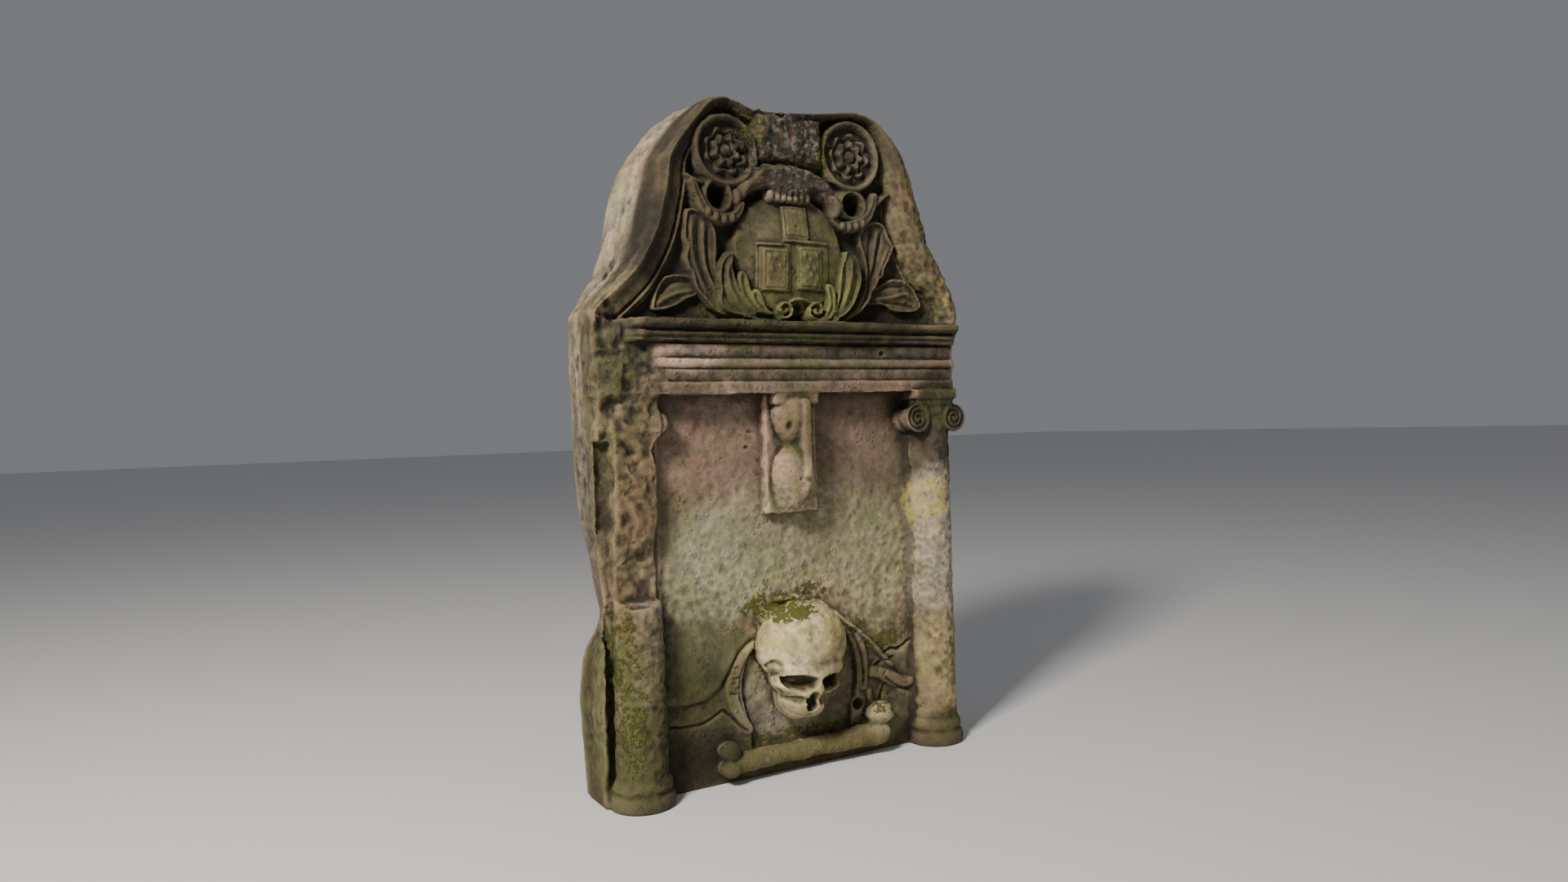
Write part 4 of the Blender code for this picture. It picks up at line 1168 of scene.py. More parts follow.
@dataclass(frozen=True)
class Columns:
    """The whole right column with its capital, and the stump of the left one.

    The shaft's profile is in shares of its radius and of the base's height. A ring of the
    volutes' roll is its radius and how far back and forward it lies, all as shares.
    """

    plan: Plan
    base_height: float = 0.052
    capital_height: float = 0.075
    volute: float = 0.0275
    lean: float = 0.16
    eye_drop: float = 0.7
    coil_turns: float = 2.1
    coil_width: float = 0.0055
    coil_depth: float = 0.0065
    moulding: Path2D = (
        (1.27, 0.1), (1.28, 0.25), (1.22, 0.44), (1.12, 0.5), (1.12, 0.56), (1.18, 0.68), (1.15, 0.8),
        (1.08, 0.93), (1.01, 1.02), (1.0, 1.6),
    )
    roll: tuple[Triple, ...] = (
        (1.06, 1.0, 0.0), (0.9, 0.7, 0.3), (0.76, 0.5, 0.5), (0.86, 0.2, 0.8),
    )

    @property
    def middle(self) -> float:
        """Place across of the capital's middle."""
        return self.plan.right_column_x - self.lean * self.plan.column_radius

    @property
    def eye_z(self) -> float:
        """Height of the volutes' eyes."""
        return self.plan.frieze_bottom - self.eye_drop * self.capital_height

    def shaft(self, top: float) -> list[Place]:
        """Radius and height pairs of the moulded base and the shaft."""
        r, base = self.plan.column_radius, self.base_height
        foot = [(1.2 * r, -0.004)]
        return foot + [(a * r, b * base) for a, b in self.moulding] + [(r, top / 2), (0.96 * r, top)]

    def build(self) -> list[Piece]:
        """Models the columns' forms.

        Returns:
            The forms, closed and in place.
        """
        plan, r, v, middle = self.plan, self.plan.column_radius, self.volute, self.middle
        front, back = plan.column_y - r, 0.01 - plan.panel
        neck = plan.frieze_bottom - 0.2 * self.capital_height
        shafts = (
            ("right_column", plan.right_column_x, plan.frieze_bottom - 0.5 * self.capital_height),
            ("left_stump", plan.left_column_x, plan.stump_height - 0.004),
        )
        forms = [TurnedForm.rings(name, self.shaft(top), 48, (x, plan.column_y, 0.0))
                 for name, x, top in shafts]
        forms.append(TurnedForm.block("abacus", (middle - 1.22 * r, front - 0.12 * r, neck),
                                      (middle + 1.05 * r, back, plan.frieze_bottom + 0.003), 0.004))
        forms.append(TurnedForm.block("abacus_bed", (middle - 1.05 * r, front - 0.02 * r, neck - 0.012),
                                      (middle + 0.95 * r, back, neck + 0.004), 0.004))
        forms.append(TurnedForm.egg("cushion", (middle, plan.column_y, self.eye_z + 0.5 * v),
                                    (1.0 * r, 1.05 * r, 0.55 * v)))
        profile = [(a * v, b * back + c * front) for a, b, c in self.roll]
        profile += [(v, front + 0.1 * r), (0.96 * v, front - 0.02 * r)]
        for side, name in ((-1, "left_volute"), (1, "right_volute")):
            forms.append(TurnedForm.rings(name, profile, 40, (middle + side * r, 0.0, self.eye_z),
                                          (-0.5 * math.pi, 0.0, 0.0)))
        return forms

    def coil(self, side: int) -> Array:
        """The groove of a volute's coil.

        Args:
            side: -1 for the left volute and 1 for the right one.

        Returns:
            The groove's (x, z) rows.
        """
        turns = np.linspace(0.0, 1.0, 40)
        angle = 0.5 * math.pi - side * 2.0 * math.pi * self.coil_turns * turns
        centre = (self.middle + side * self.plan.column_radius, self.eye_z)
        return coil_path(centre, self.volute * (0.86 - 0.72 * turns), angle)


@dataclass(frozen=True)
class Hourglass:
    """Two bulbs under an end block, with a post before them."""

    plan: Plan
    radius: float = 0.044
    length: float = 0.218
    rise: float = 0.02
    half: float = 0.056
    bevel: float = 0.005
    bulbs: Path2D = (
        (0.62, 0.02), (0.8, 0.07), (0.94, 0.14), (1.02, 0.24), (1.03, 0.32), (0.98, 0.41), (0.84, 0.48),
        (0.6, 0.535), (0.42, 0.565), (0.42, 0.59), (0.6, 0.63), (0.8, 0.69), (0.97, 0.78), (1.0, 0.86),
        (0.85, 0.94), (0.6, 0.98),
    )

    def build(self) -> list[Piece]:
        """Models the bulbs, the end block and the post."""
        plan, r, half = self.plan, self.radius, self.half
        bottom = plan.frieze_bottom - self.length
        front = -(plan.panel + self.rise)
        profile = [(share * r, bottom + up * self.length) for share, up in self.bulbs]
        head = ((-0.8 * half, -plan.face - 0.002, plan.frieze_bottom - 0.02),
                (0.88 * half, front + 0.01, plan.frieze_bottom + 0.004))
        post = ((0.02 * half, front - 1.0 * r, bottom + 0.3 * self.length),
                (0.34 * half, front + 0.4 * r, bottom + 0.95 * self.length))
        return [
            TurnedForm.rings("bulbs", profile, 40, (0.0, front + 0.12 * r, 0.0)),
            TurnedForm.block("hourglass_head", *head, self.bevel),
            TurnedForm.block("hourglass_post", *post, self.bevel),
        ]


@dataclass(frozen=True)
class Skull:
    """The skull, without a lower jaw, looking down; its forms are shares of its width.

    A lump is its name, its centre, its radii and its turn. A hollow is its place, its half width,
    its reach upwards and downwards, its turn and, in metres, its depth.
    """

    plan: Plan
    skin: float = 0.004
    smoothing: int = 7
    teeth_width: float = 0.004
    teeth_depth: float = 0.0025
    gum_line: Path2D = ((-0.2, -0.58), (-0.1, -0.62), (0.02, -0.62), (0.12, -0.59))
    lumps: tuple = (
        ("cranium", (0.045, 0.0, 0.015), (0.475, 0.36, 0.405), 0.0),
        ("crown", (0.045, -0.06, 0.1), (0.39, 0.3, 0.3), 0.0),
        ("face", (0.02, -0.05, -0.28), (0.35, 0.32, 0.24), -0.12),
        ("upper_jaw", (-0.03, -0.06, -0.47), (0.235, 0.28, 0.2), -0.1),
        ("left_gum", (-0.09, -0.05, -0.54), (0.15, 0.24, 0.14), 0.0),
        ("right_gum", (0.04, -0.07, -0.55), (0.14, 0.24, 0.13), 0.0),
        ("brow", (0.03, -0.17, -0.18), (0.37, 0.18, 0.1), -0.1),
        ("left_cheek", (-0.19, -0.12, -0.37), (0.17, 0.16, 0.045), -0.4),
        ("right_cheek", (0.25, -0.11, -0.4), (0.12, 0.16, 0.05), 0.25),
        ("nose_bridge", (0.03, -0.3, -0.36), (0.045, 0.08, 0.13), 0.25),
    )
    hollows: tuple = (
        ((-0.135, -0.27), (0.165, 0.045, 0.115), -0.1, 0.036),
        ((0.2, -0.3), (0.145, 0.045, 0.125), -0.05, 0.038),
        ((-0.03, -0.51), (0.062, 0.12, 0.07), -0.25, 0.026),
        ((0.11, -0.45), (0.07, 0.1, 0.1), -0.3, 0.012),
        ((-0.33, -0.16), (0.06, 0.1, 0.1), 0.3, 0.011),
        ((-0.16, -0.45), (0.11, 0.03, 0.04), -0.15, 0.01),
        ((0.19, -0.5), (0.07, 0.05, 0.06), 0.3, 0.012),
    )

    @property
    def y(self) -> float:
        """Depth of the cranium's centre."""
        return -self.plan.panel - 0.1 * self.plan.skull_width

    @property
    def z(self) -> float:
        """Height of the cranium's centre."""
        return 1.225 * self.plan.skull_width

    def build(self) -> list[Piece]:
        """Models the skull's lumps and fuses them."""
        w, y, z = self.plan.skull_width, self.y, self.z
        mass = join_all([
            TurnedForm.egg(name, (at[0] * w, y + at[1] * w, z + at[2] * w),
                           [share * w for share in radii], turn)
            for name, at, radii, turn in self.lumps
        ])
        apply_modifier(mass, "REMESH", mode="VOXEL", voxel_size=self.skin)
        apply_modifier(mass, "SMOOTH", factor=0.5, iterations=self.smoothing)
        return [mass]

    def sculpt(self, chisel: Chisel) -> None:
        """Sinks the sockets, the nose, the temples and the gap under the teeth."""
        w, z = self.plan.skull_width, self.z
        for place, radii, turn, depth in self.hollows:
            centre = (place[0] * w, z + place[1] * w)
            chisel.sink(centre, [share * w for share in radii], turn, depth)
        gum = np.array(self.gum_line) * w + np.array((0.0, z))
        chisel.groove(smooth_path(gum), self.teeth_width, self.teeth_depth)


@dataclass(frozen=True)
class Bone:
    """The long bone at the foot of the stone; its forms are shares of its radius and half length.

    The shaft is pairs of radius and place along, and a knob is its place along, its height and
    its radii.
    """

    plan: Plan
    radius: float = 0.021
    half: float = 0.165
    shaft: Path2D = ((0.9, -0.95), (0.84, -0.7), (0.79, -0.3), (0.8, 0.2), (0.92, 0.6), (1.12, 0.92))
    knobs: tuple = (
        (-1.0, -0.3, (0.95, 1.0, 0.85)),
        (-1.0, 1.15, (0.95, 1.0, 0.85)),
        (0.92, 0.1, (1.5, 1.1, 1.1)),
        (0.98, 1.9, (1.42, 1.15, 1.0)),
    )

    def build(self) -> list[Piece]:
        """Models the shaft and its four knobs."""
        r, half = self.radius, self.half
        x, y, z = 0.12 * half, -self.plan.panel - 0.75 * r, 1.85 * r
        profile = [(a * r, b * half) for a, b in self.shaft]
        found = [TurnedForm.rings("bone_shaft", profile, 32, (x, y, z), (0.0, 0.5 * math.pi, 0.0))]
        for k, (share, up, radii) in enumerate(self.knobs):
            place = (x + share * half, y - 0.1 * r, z + up * r)
            found.append(TurnedForm.egg(f"knob_{k + 1}", place, [s * r for s in radii]))
        return found


class Chisel:
    """Cuts small forms into the joined skin by moving its front vertices back."""

    def __init__(self, stone: Piece) -> None:
        """Reads the skin that is to be cut."""
        self.stone = stone
        self.places = read_places(stone.data)
        self.facing = read_normals(stone.data)[:, 1] < -0.15

    def sink(self, centre: Row, radii: Row, turn: float, depth: float) -> None:
        """Sinks an oval hollow with a rounded floor.

        Args:
            centre: its (x, z) place.
            radii: its half width, its reach upwards and its reach downwards.
            turn: how far it is tipped.
            depth: how deep its middle is.
        """
        flat = self.places[:, (0, 2)] - np.array(centre)
        cos, sin = math.cos(turn), math.sin(turn)
        across = (flat[:, 0] * cos + flat[:, 1] * sin) / radii[0]
        up = -flat[:, 0] * sin + flat[:, 1] * cos
        up = up / np.where(up > 0.0, radii[1], radii[2])
        reach = across**2 + up**2
        inside = (reach < 1.0) & self.facing & (self.places[:, 1] < -0.02)
        self.places[inside, 1] += depth * np.clip(1.3 * (1.0 - reach[inside]) ** 0.6, 0.0, 1.0)

    def groove(self, path: Array, width: float, depth: float) -> None:
        """Cuts a groove along a path of (x, z) rows."""
        low, high = path.min(axis=0) - 2 * width, path.max(axis=0) + 2 * width
        flat = self.places[:, (0, 2)]
        near = np.flatnonzero(np.all((flat > low) & (flat < high), axis=1) & self.facing)
        distance, _ = path_reach(flat[near], path)
        self.places[near, 1] += depth * np.exp(-((distance / (0.5 * width)) ** 2))

    def finish(self) -> None:
        """Writes the cuts to the skin."""
        write_places(self.stone.data, self.places)


@dataclass(frozen=True)
class Zone:
    """A soft oval area of the stone, with how strongly something shows in it."""

    centre: Place
    radii: Place
    strength: float = 1.0

    def weight(self, places: Array) -> Array:
        """How strongly each (x, y, z) row lies in the zone."""
        flat = (places[:, (0, 2)] - np.array(self.centre)) / np.array(self.radii)
        reach = np.linalg.norm(flat, axis=1)
        return self.strength * (1.0 - smooth_step(reach, 0.55, 1.0))


def zones(*rows: Row) -> tuple[Zone, ...]:
    """Zones from rows of place across, height, half width, half height and strength."""
    return tuple(Zone(row[:2], row[2:4], row[4]) for row in rows)


def zones_weight(areas: Sequence[Zone], places: Array) -> Array:
    """The strongest of several zones at each place."""
    total = np.zeros(len(places))
    for area in areas:
        total = np.maximum(total, area.weight(places))
    return total


@dataclass(frozen=True)
class Gouge:
    """A single chip or hole that stands out."""

    centre: Triple
    radii: Triple
    depth: float


@dataclass(frozen=True)
class Weather:
    """What two and a half centuries outdoors did to the stone's skin."""

    broken: tuple[Zone, ...] = zones(
        (-0.33, 0.735, 0.1, 0.1, 1.0), (-0.325, 0.6, 0.08, 0.14, 1.0), (-0.33, 0.47, 0.08, 0.17, 0.9),
        (-0.37, 0.3, 0.035, 0.3, 0.9), (0.385, 0.35, 0.03, 0.33, 0.7), (-0.36, 0.82, 0.04, 0.05, 0.8),
    )
    lumpy: tuple[Zone, ...] = zones(
        (0.3, 0.98, 0.07, 0.16, 1.0), (0.35, 0.87, 0.06, 0.07, 1.0), (0.27, 1.08, 0.06, 0.1, 0.7),
        (0.33, 0.35, 0.07, 0.36, 0.75), (-0.308, 0.18, 0.07, 0.22, 0.95), (0.01, 0.25, 0.1, 0.08, 0.4),
        (0.02, 0.04, 0.2, 0.035, 0.35),
    )
    pitted: tuple[Zone, ...] = zones(
        (0.06, 0.4, 0.28, 0.18, 1.0), (0.2, 0.36, 0.14, 0.2, 1.0), (-0.14, 0.42, 0.2, 0.18, 0.8),
        (-0.15, 0.6, 0.16, 0.14, 0.45), (0.15, 0.6, 0.14, 0.14, 0.35),
    )
    crusted: tuple[Zone, ...] = zones(
        (0.01, 1.15, 0.085, 0.07, 1.0), (-0.06, 1.1, 0.06, 0.05, 0.6), (0.03, 1.08, 0.1, 0.035, 0.4),
    )
    gouges: tuple[Gouge, ...] = (
        Gouge((-0.03, -0.08, 0.6), (0.011, 0.03, 0.017), 0.005),
        Gouge((-0.02, -0.08, 0.632), (0.007, 0.03, 0.012), 0.005),
        Gouge((-0.004, -0.095, 0.537), (0.004, 0.02, 0.004), 0.004),
        Gouge((-0.075, -0.028, 0.625), (0.009, 0.01, 0.004), 0.003),
        Gouge((-0.083, -0.028, 0.597), (0.007, 0.01, 0.005), 0.004),
        Gouge((-0.362, 0.0, 0.962), (0.006, 0.02, 0.018), 0.012),
        Gouge((0.193, -0.07, 0.764), (0.008, 0.02, 0.006), 0.004),
        Gouge((-0.125, -0.07, 0.812), (0.01, 0.03, 0.006), 0.005),
        Gouge((-0.352, -0.07, 0.842), (0.01, 0.02, 0.01), 0.006),
    )

    def wear(self, stone: Piece) -> None:
        """Breaks, pits and roughens the joined skin, then cuts the single chips.

        Args:
            stone: the joined skin.
        """
        places, normals = read_places(stone.data), read_normals(stone.data)
        front = smooth_step(-normals[:, 1], 0.0, 0.5)
        back = smooth_step(places[:, 1], 0.02, 0.06)
        shift = self.dressing(places, front, back)
        shift += self.breaks(places, front, back)
        lumpy = zones_weight(self.lumpy, places) * (1.0 - back)
        shift += lumpy * (0.003 * layered_noise(places, 0.024, 17)
                          + 0.0014 * lattice_noise(places, 0.009, 19))
        near = np.flatnonzero(places[:, 1] < -0.015)
        shift[near] -= self.pits(places[near])
        crusted = zones_weight(self.crusted, places)
        shift += crusted * (1.0 - back) * (0.0028 * lattice_noise(places, 0.0075, 29)
                                           + 0.0036 * layered_noise(places, 0.018, 31))
        shift *= smooth_step(places[:, 2], 0.0, 0.012)
        write_places(stone.data, places + normals * shift[:, None])
        self.chip(stone)

    @staticmethod
    def dressing(places: Array, front: Array, back: Array) -> Array:
        """The worn tooling of the front, the flanks and the back.

        Args:
            places: the skin's (x, y, z) rows.
            front: how far each row faces the viewer.
            back: how far each row belongs to the back.

        Returns:
            How far each row moves outwards.
        """
        side = np.clip(1.0 - front - back, 0.0, 1.0)
        left_side = side * (places[:, 0] < 0.0)
        shift = 0.0005 * layered_noise(places, 0.012, 3)
        shift += 0.0009 * layered_noise(places, 0.05, 5) * (1.0 - 0.5 * back)
        shift += left_side * 0.0011 * layered_noise(places / np.array((1.0, 1.0, 5.0)), 0.01, 7)
        shift += side * 0.0016 * layered_noise(places, 0.03, 9)
        return shift + back * 0.0028 * layered_noise(places, 0.06, 11, 2)

    def breaks(self, places: Array, front: Array, back: Array) -> Array:
        """The lumps of the broken edges; takes and returns what dressing does."""
        shift = np.zeros(len(places))
        broken = zones_weight(self.broken, places) * (1.0 - back)
        hit = np.flatnonzero(broken > 0.0)
        drift = [lattice_noise(places[hit], 0.03, 40 + k) for k in range(3)]
        bent = places[hit] + 0.01 * np.stack(drift, axis=1)
        rough = 0.0034 * layered_noise(bent, 0.032, 13, 2)
        rough += 0.0022 * layered_noise(bent, np.array((0.012, 0.02, 0.016)), 15, 2)
        rough -= 0.0012 * smooth_step(0.5 - pocket_noise(bent, 0.03, 16), 0.0, 0.4)
        shift[hit] = (broken * (0.3 + 0.7 * front))[hit] * rough
        return shift

    def pits(self, places: Array) -> Array:
        """How deep the pits of the front are at each (x, y, z) row."""
        pitted = zones_weight(self.pitted, places)
        depth = -pitted * 0.0009 * layered_noise(places, 0.016, 23)
        for size, sunk, seed in ((0.024, 0.0016, 21), (0.013, 0.002, 22)):
            pocket = pocket_noise(places, size, seed)
            depth += pitted * sunk * smooth_step(0.62 - pocket, 0.0, 0.5)
        small = pocket_noise(places, 0.008, 25)
        holes = smooth_step(lattice_noise(places, 0.03, 27), 0.25, 0.6)
        return depth + holes * 0.0016 * np.clip(0.4 - small, 0.0, 1.0) / 0.4

    def chip(self, stone: Piece) -> None:
        """Cuts the single chips and holes."""
        places, normals = read_places(stone.data), read_normals(stone.data)
        for gouge in self.gouges:
            offset = (places - np.array(gouge.centre)) / np.array(gouge.radii)
            cut = 1.0 - smooth_step(np.linalg.norm(offset, axis=1), 0.35, 1.0)
            places -= normals * (gouge.depth * cut)[:, None]
        write_places(stone.data, places)


class SkinMap:
    """Values over the finished skin, which the finish reads as attributes."""

    def __init__(self, stone: Piece) -> None:
        """Reads the skin's vertices, normals and edges."""
        self.mesh = stone.data
        self.places = read_places(self.mesh)
        self.normals = read_normals(self.mesh)
        edges = np.empty(len(self.mesh.edges) * 2, np.int32)
        self.mesh.edges.foreach_get("vertices", edges)
        self.edges = edges.reshape(-1, 2)
        self.degree = np.bincount(edges, minlength=len(self.places)).astype(float)

    def relax(self, values: Array, rounds: int) -> Array:
        """Averages values with their neighbours', over and over."""
        count = len(values)
        table = values.reshape(count, -1).copy()
        a, b = self.edges.T
        for _ in range(rounds):
            for column in range(table.shape[1]):
                line = table[:, column]
                total = np.bincount(a, line[b], count) + np.bincount(b, line[a], count)
                table[:, column] = 0.5 * line + 0.5 * total / self.degree
        return table.reshape(values.shape)

    def hollowness(self, rounds: int) -> Array:
        """How far the skin lies below its own average, in metres; negative on edges."""
        return ((self.relax(self.places, rounds) - self.places) * self.normals).sum(axis=1)

    def store(self, name: str, values: Array) -> None:
        """Keeps one value a vertex as an attribute."""
        layer = self.mesh.attributes.new(name, "FLOAT", "POINT")
        layer.data.foreach_set("value", np.ascontiguousarray(values, np.float32))

    def store_colour(self, name: str, values: Array) -> None:
        """Keeps one colour a vertex as an attribute."""
        layer = self.mesh.attributes.new(name, "FLOAT_COLOR", "POINT")
        table = np.ones((len(values), 4), np.float32)
        table[:, :3] = values
        layer.data.foreach_set("color", table.ravel())


@dataclass(frozen=True)
class Wash(Zone):
    """A broad stain, in a few cases a painted shade: a soft zone and the colour in it, on the front or on
    the side.
    """

    colour: Colour = (0.0, 0.0, 0.0)
    on_side: bool = False


def washes_from(*rows: Row, on_side: bool = False) -> tuple[Wash, ...]:
    """Washes from rows of red, green, blue and what a zone's row has."""
    return tuple(Wash(row[3:5], row[5:7], row[7], row[:3], on_side) for row in rows)


@dataclass(frozen=True)
class StainsAndShade:
    """Broad colours of the stone, where growths sit on it, and where shade and highlight are painted on it.

    A hue is the size of its patches, its seed and what it multiplies the colour by.
    """

    plan: Plan
    pitted: tuple[Zone, ...] = ()
    ground: Colour = (0.15, 0.12, 0.07)
    flank: Colour = (0.21, 0.17, 0.12)
    back_tone: Colour = (0.17, 0.14, 0.088)
    # earth stain and painted contact shadow at the foot
    soil_and_contact_shade: Colour = (0.045, 0.035, 0.024)
    soil_and_shade_height: float = 0.035
    worn_depth: float = 0.0011
    broad_shade_depth: float = 0.005
    raggedness: float = 0.016
    washes: tuple[Wash, ...] = washes_from(
        # dark gable field: grime and painted shade
        (0.055, 0.045, 0.026, 0.0, 1.02, 0.42, 0.36, 1.0),
        (0.09, 0.075, 0.048, 0.17, 1.06, 0.12, 0.15, 0.8),
        (0.03, 0.026, 0.018, -0.15, 1.12, 0.1, 0.09, 0.65),
        # painted shade in the recess left of the tall left leaf
        (0.02, 0.017, 0.012, -0.27, 0.96, 0.03, 0.13, 0.8),
        (0.045, 0.038, 0.025, 0.0, 1.0, 0.11, 0.03, 0.7), (0.115, 0.1, 0.05, 0.02, 0.93, 0.13, 0.13, 0.9),
        (0.14, 0.13, 0.05, 0.03, 0.86, 0.17, 0.06, 0.75),
        # dark band along the cornice: painted shade of its deep mouldings, with some grime
        (0.032, 0.027, 0.017, 0.0, 0.802, 0.55, 0.036, 0.95),
        (0.12, 0.095, 0.068, 0.06, 0.735, 0.42, 0.05, 0.95),
        (0.075, 0.063, 0.044, 0.3, 0.775, 0.12, 0.028, 0.8),
        (0.3, 0.23, 0.18, -0.21, 0.765, 0.09, 0.03, 0.95), (0.13, 0.1, 0.072, -0.2, 0.715, 0.12, 0.03, 0.9),
        (0.23, 0.155, 0.112, -0.15, 0.6, 0.2, 0.14, 0.95), (0.2, 0.15, 0.112, -0.2, 0.66, 0.1, 0.05, 0.8),
        (0.18, 0.125, 0.09, 0.15, 0.61, 0.17, 0.14, 0.95), (0.3, 0.255, 0.165, 0.02, 0.42, 0.3, 0.15, 0.95),
        (0.3, 0.265, 0.155, 0.18, 0.35, 0.15, 0.14, 0.8), (0.3, 0.275, 0.18, -0.16, 0.38, 0.15, 0.12, 0.75),
        (0.13, 0.12, 0.066, -0.22, 0.2, 0.15, 0.17, 0.7),
        (0.05, 0.046, 0.024, -0.22, 0.11, 0.14, 0.19, 0.9),
        (0.028, 0.027, 0.013, -0.22, 0.03, 0.15, 0.1, 0.9),
        (0.05, 0.055, 0.018, -0.262, 0.17, 0.02, 0.16, 0.7),
        (0.12, 0.1, 0.055, 0.16, 0.12, 0.13, 0.14, 0.9), (0.27, 0.23, 0.17, -0.02, 0.14, 0.12, 0.09, 0.95),
        (0.28, 0.24, 0.18, 0.32, 0.38, 0.07, 0.26, 0.95),
        # painted shadow under the right column's capital
        (0.05, 0.04, 0.027, 0.32, 0.635, 0.08, 0.13, 0.97),
        # first row: painted shade between the capital's volutes
        (0.04, 0.034, 0.021, 0.3, 0.66, 0.1, 0.04, 0.95), (0.26, 0.2, 0.11, 0.32, 0.16, 0.08, 0.12, 0.9),
        (0.13, 0.1, 0.045, 0.32, 0.03, 0.09, 0.05, 0.9), (0.075, 0.062, 0.036, -0.33, 0.73, 0.1, 0.12, 0.9),
        (0.14, 0.108, 0.06, -0.33, 0.52, 0.09, 0.22, 0.9),
        (0.13, 0.108, 0.066, -0.305, 0.24, 0.055, 0.15, 0.95),
        (0.075, 0.075, 0.024, -0.345, 0.2, 0.02, 0.2, 0.8),
        (0.17, 0.14, 0.098, -0.3, 0.325, 0.05, 0.03, 0.7),
        (0.055, 0.044, 0.024, -0.31, 0.06, 0.08, 0.13, 0.95),
        (0.5, 0.42, 0.25, 0.0, 0.22, 0.11, 0.13, 0.97), (0.2, 0.17, 0.09, 0.055, 0.18, 0.07, 0.11, 0.75),
        (0.26, 0.22, 0.115, -0.01, 0.14, 0.07, 0.05, 0.7),
        (0.12, 0.092, 0.054, 0.0, 0.62, 0.062, 0.085, 0.9),
        (0.17, 0.137, 0.093, 0.0, 0.53, 0.065, 0.06, 0.9),
        (0.34, 0.27, 0.19, 0.0, 0.545, 0.022, 0.035, 0.8), (0.12, 0.095, 0.055, 0.3, 0.97, 0.12, 0.22, 0.9),
        (0.12, 0.098, 0.045, 0.03, 0.04, 0.22, 0.032, 0.9),
        (0.21, 0.18, 0.11, 0.17, 0.078, 0.035, 0.035, 0.9),
        (0.055, 0.045, 0.026, 0.32, 0.02, 0.09, 0.05, 0.9),
        (0.19, 0.155, 0.12, 0.02, 1.07, 0.1, 0.04, 0.95),
    ) + washes_from(
        (0.25, 0.205, 0.145, -0.3, 1.05, 0.2, 0.22, 0.9), (0.12, 0.105, 0.08, -0.38, 0.5, 0.2, 0.22, 0.8),
        (0.055, 0.047, 0.016, -0.38, 0.1, 0.2, 0.28, 0.9),
        on_side=True,
    )
    growths: tuple[tuple[str, tuple[Zone, ...]], ...] = (
        ("algae", zones(
            (0.06, 0.89, 0.14, 0.1, 0.55), (-0.1, 0.85, 0.1, 0.06, 0.65), (0.1, 0.85, 0.08, 0.06, 0.65),
            (0.0, 0.8, 0.35, 0.03, 0.35), (0.02, 0.745, 0.2, 0.02, 0.35), (0.03, 0.04, 0.25, 0.05, 0.55),
            (-0.36, 0.15, 0.07, 0.2, 0.8), (-0.32, 0.16, 0.05, 0.2, 0.65), (-0.18, 0.2, 0.14, 0.12, 0.4),
            (0.33, 0.04, 0.07, 0.05, 0.5), (0.33, 0.93, 0.06, 0.12, 0.3), (-0.33, 0.65, 0.07, 0.15, 0.35),
            (0.05, 0.45, 0.28, 0.12, 0.35), (0.07, 1.12, 0.035, 0.07, 0.7), (0.01, 0.62, 0.05, 0.1, 0.35),
            (0.0, 0.22, 0.1, 0.12, 0.3), (0.32, 0.66, 0.06, 0.05, 0.5),
        )),
        ("moss", zones(
            (-0.04, 0.308, 0.075, 0.03, 0.62), (0.045, 0.325, 0.05, 0.022, 0.5),
            (0.21, 0.212, 0.06, 0.02, 0.5), (-0.272, 0.1, 0.02, 0.1, 0.4), (-0.34, 0.25, 0.02, 0.12, 0.3),
            (0.14, 0.245, 0.05, 0.02, 0.42), (0.0, 0.066, 0.14, 0.012, 0.42), (0.19, 0.1, 0.05, 0.03, 0.35),
            (-0.33, 0.16, 0.03, 0.13, 0.36), (0.075, 1.14, 0.02, 0.06, 0.45),
            (-0.07, 1.16, 0.03, 0.04, 0.4),
        )),
        ("crust", zones(
            (0.01, 1.15, 0.085, 0.07, 1.0), (-0.09, 1.12, 0.05, 0.06, 0.5), (0.13, 1.15, 0.06, 0.06, 0.35),
            (0.02, 1.068, 0.12, 0.035, 0.75), (-0.33, 0.72, 0.05, 0.07, 0.25),
        )),
        ("lichen", zones(
            (0.3, 0.475, 0.045, 0.075, 0.62), (0.0, 0.27, 0.1, 0.06, 0.45), (0.36, 0.9, 0.03, 0.05, 0.3),
            (-0.36, 0.95, 0.03, 0.1, 0.35), (0.02, 0.535, 0.06, 0.05, 0.25),
        )),
    )
    hues: tuple[tuple[float, int, Colour], ...] = (
        (0.07, 51, (1.08, 0.96, 0.95)), (0.05, 57, (0.9, 0.99, 0.82)),
        (0.035, 63, (1.12, 1.1, 1.16)), (0.03, 69, (0.8, 0.8, 0.78)),
    )

    def lay(self, skin: SkinMap) -> None:
        """Works out and stores every value that the finish reads.

        Args:
            skin: the finished skin.
        """
        places, normals = skin.places, skin.normals
        front = smooth_step(-places[:, 1], -0.005, 0.02) * smooth_step(-normals[:, 1], -0.4, 0.1)
        self.lay_wear_and_shade(skin, front)
        skin.store_colour("tint", self.tint(places, front))
        for name, areas in self.growths:
            open_air = np.clip(0.35 + 0.65 * front, 0.0, 1.0) if name == "algae" else front
            skin.store(name, zones_weight(areas, places) * open_air)

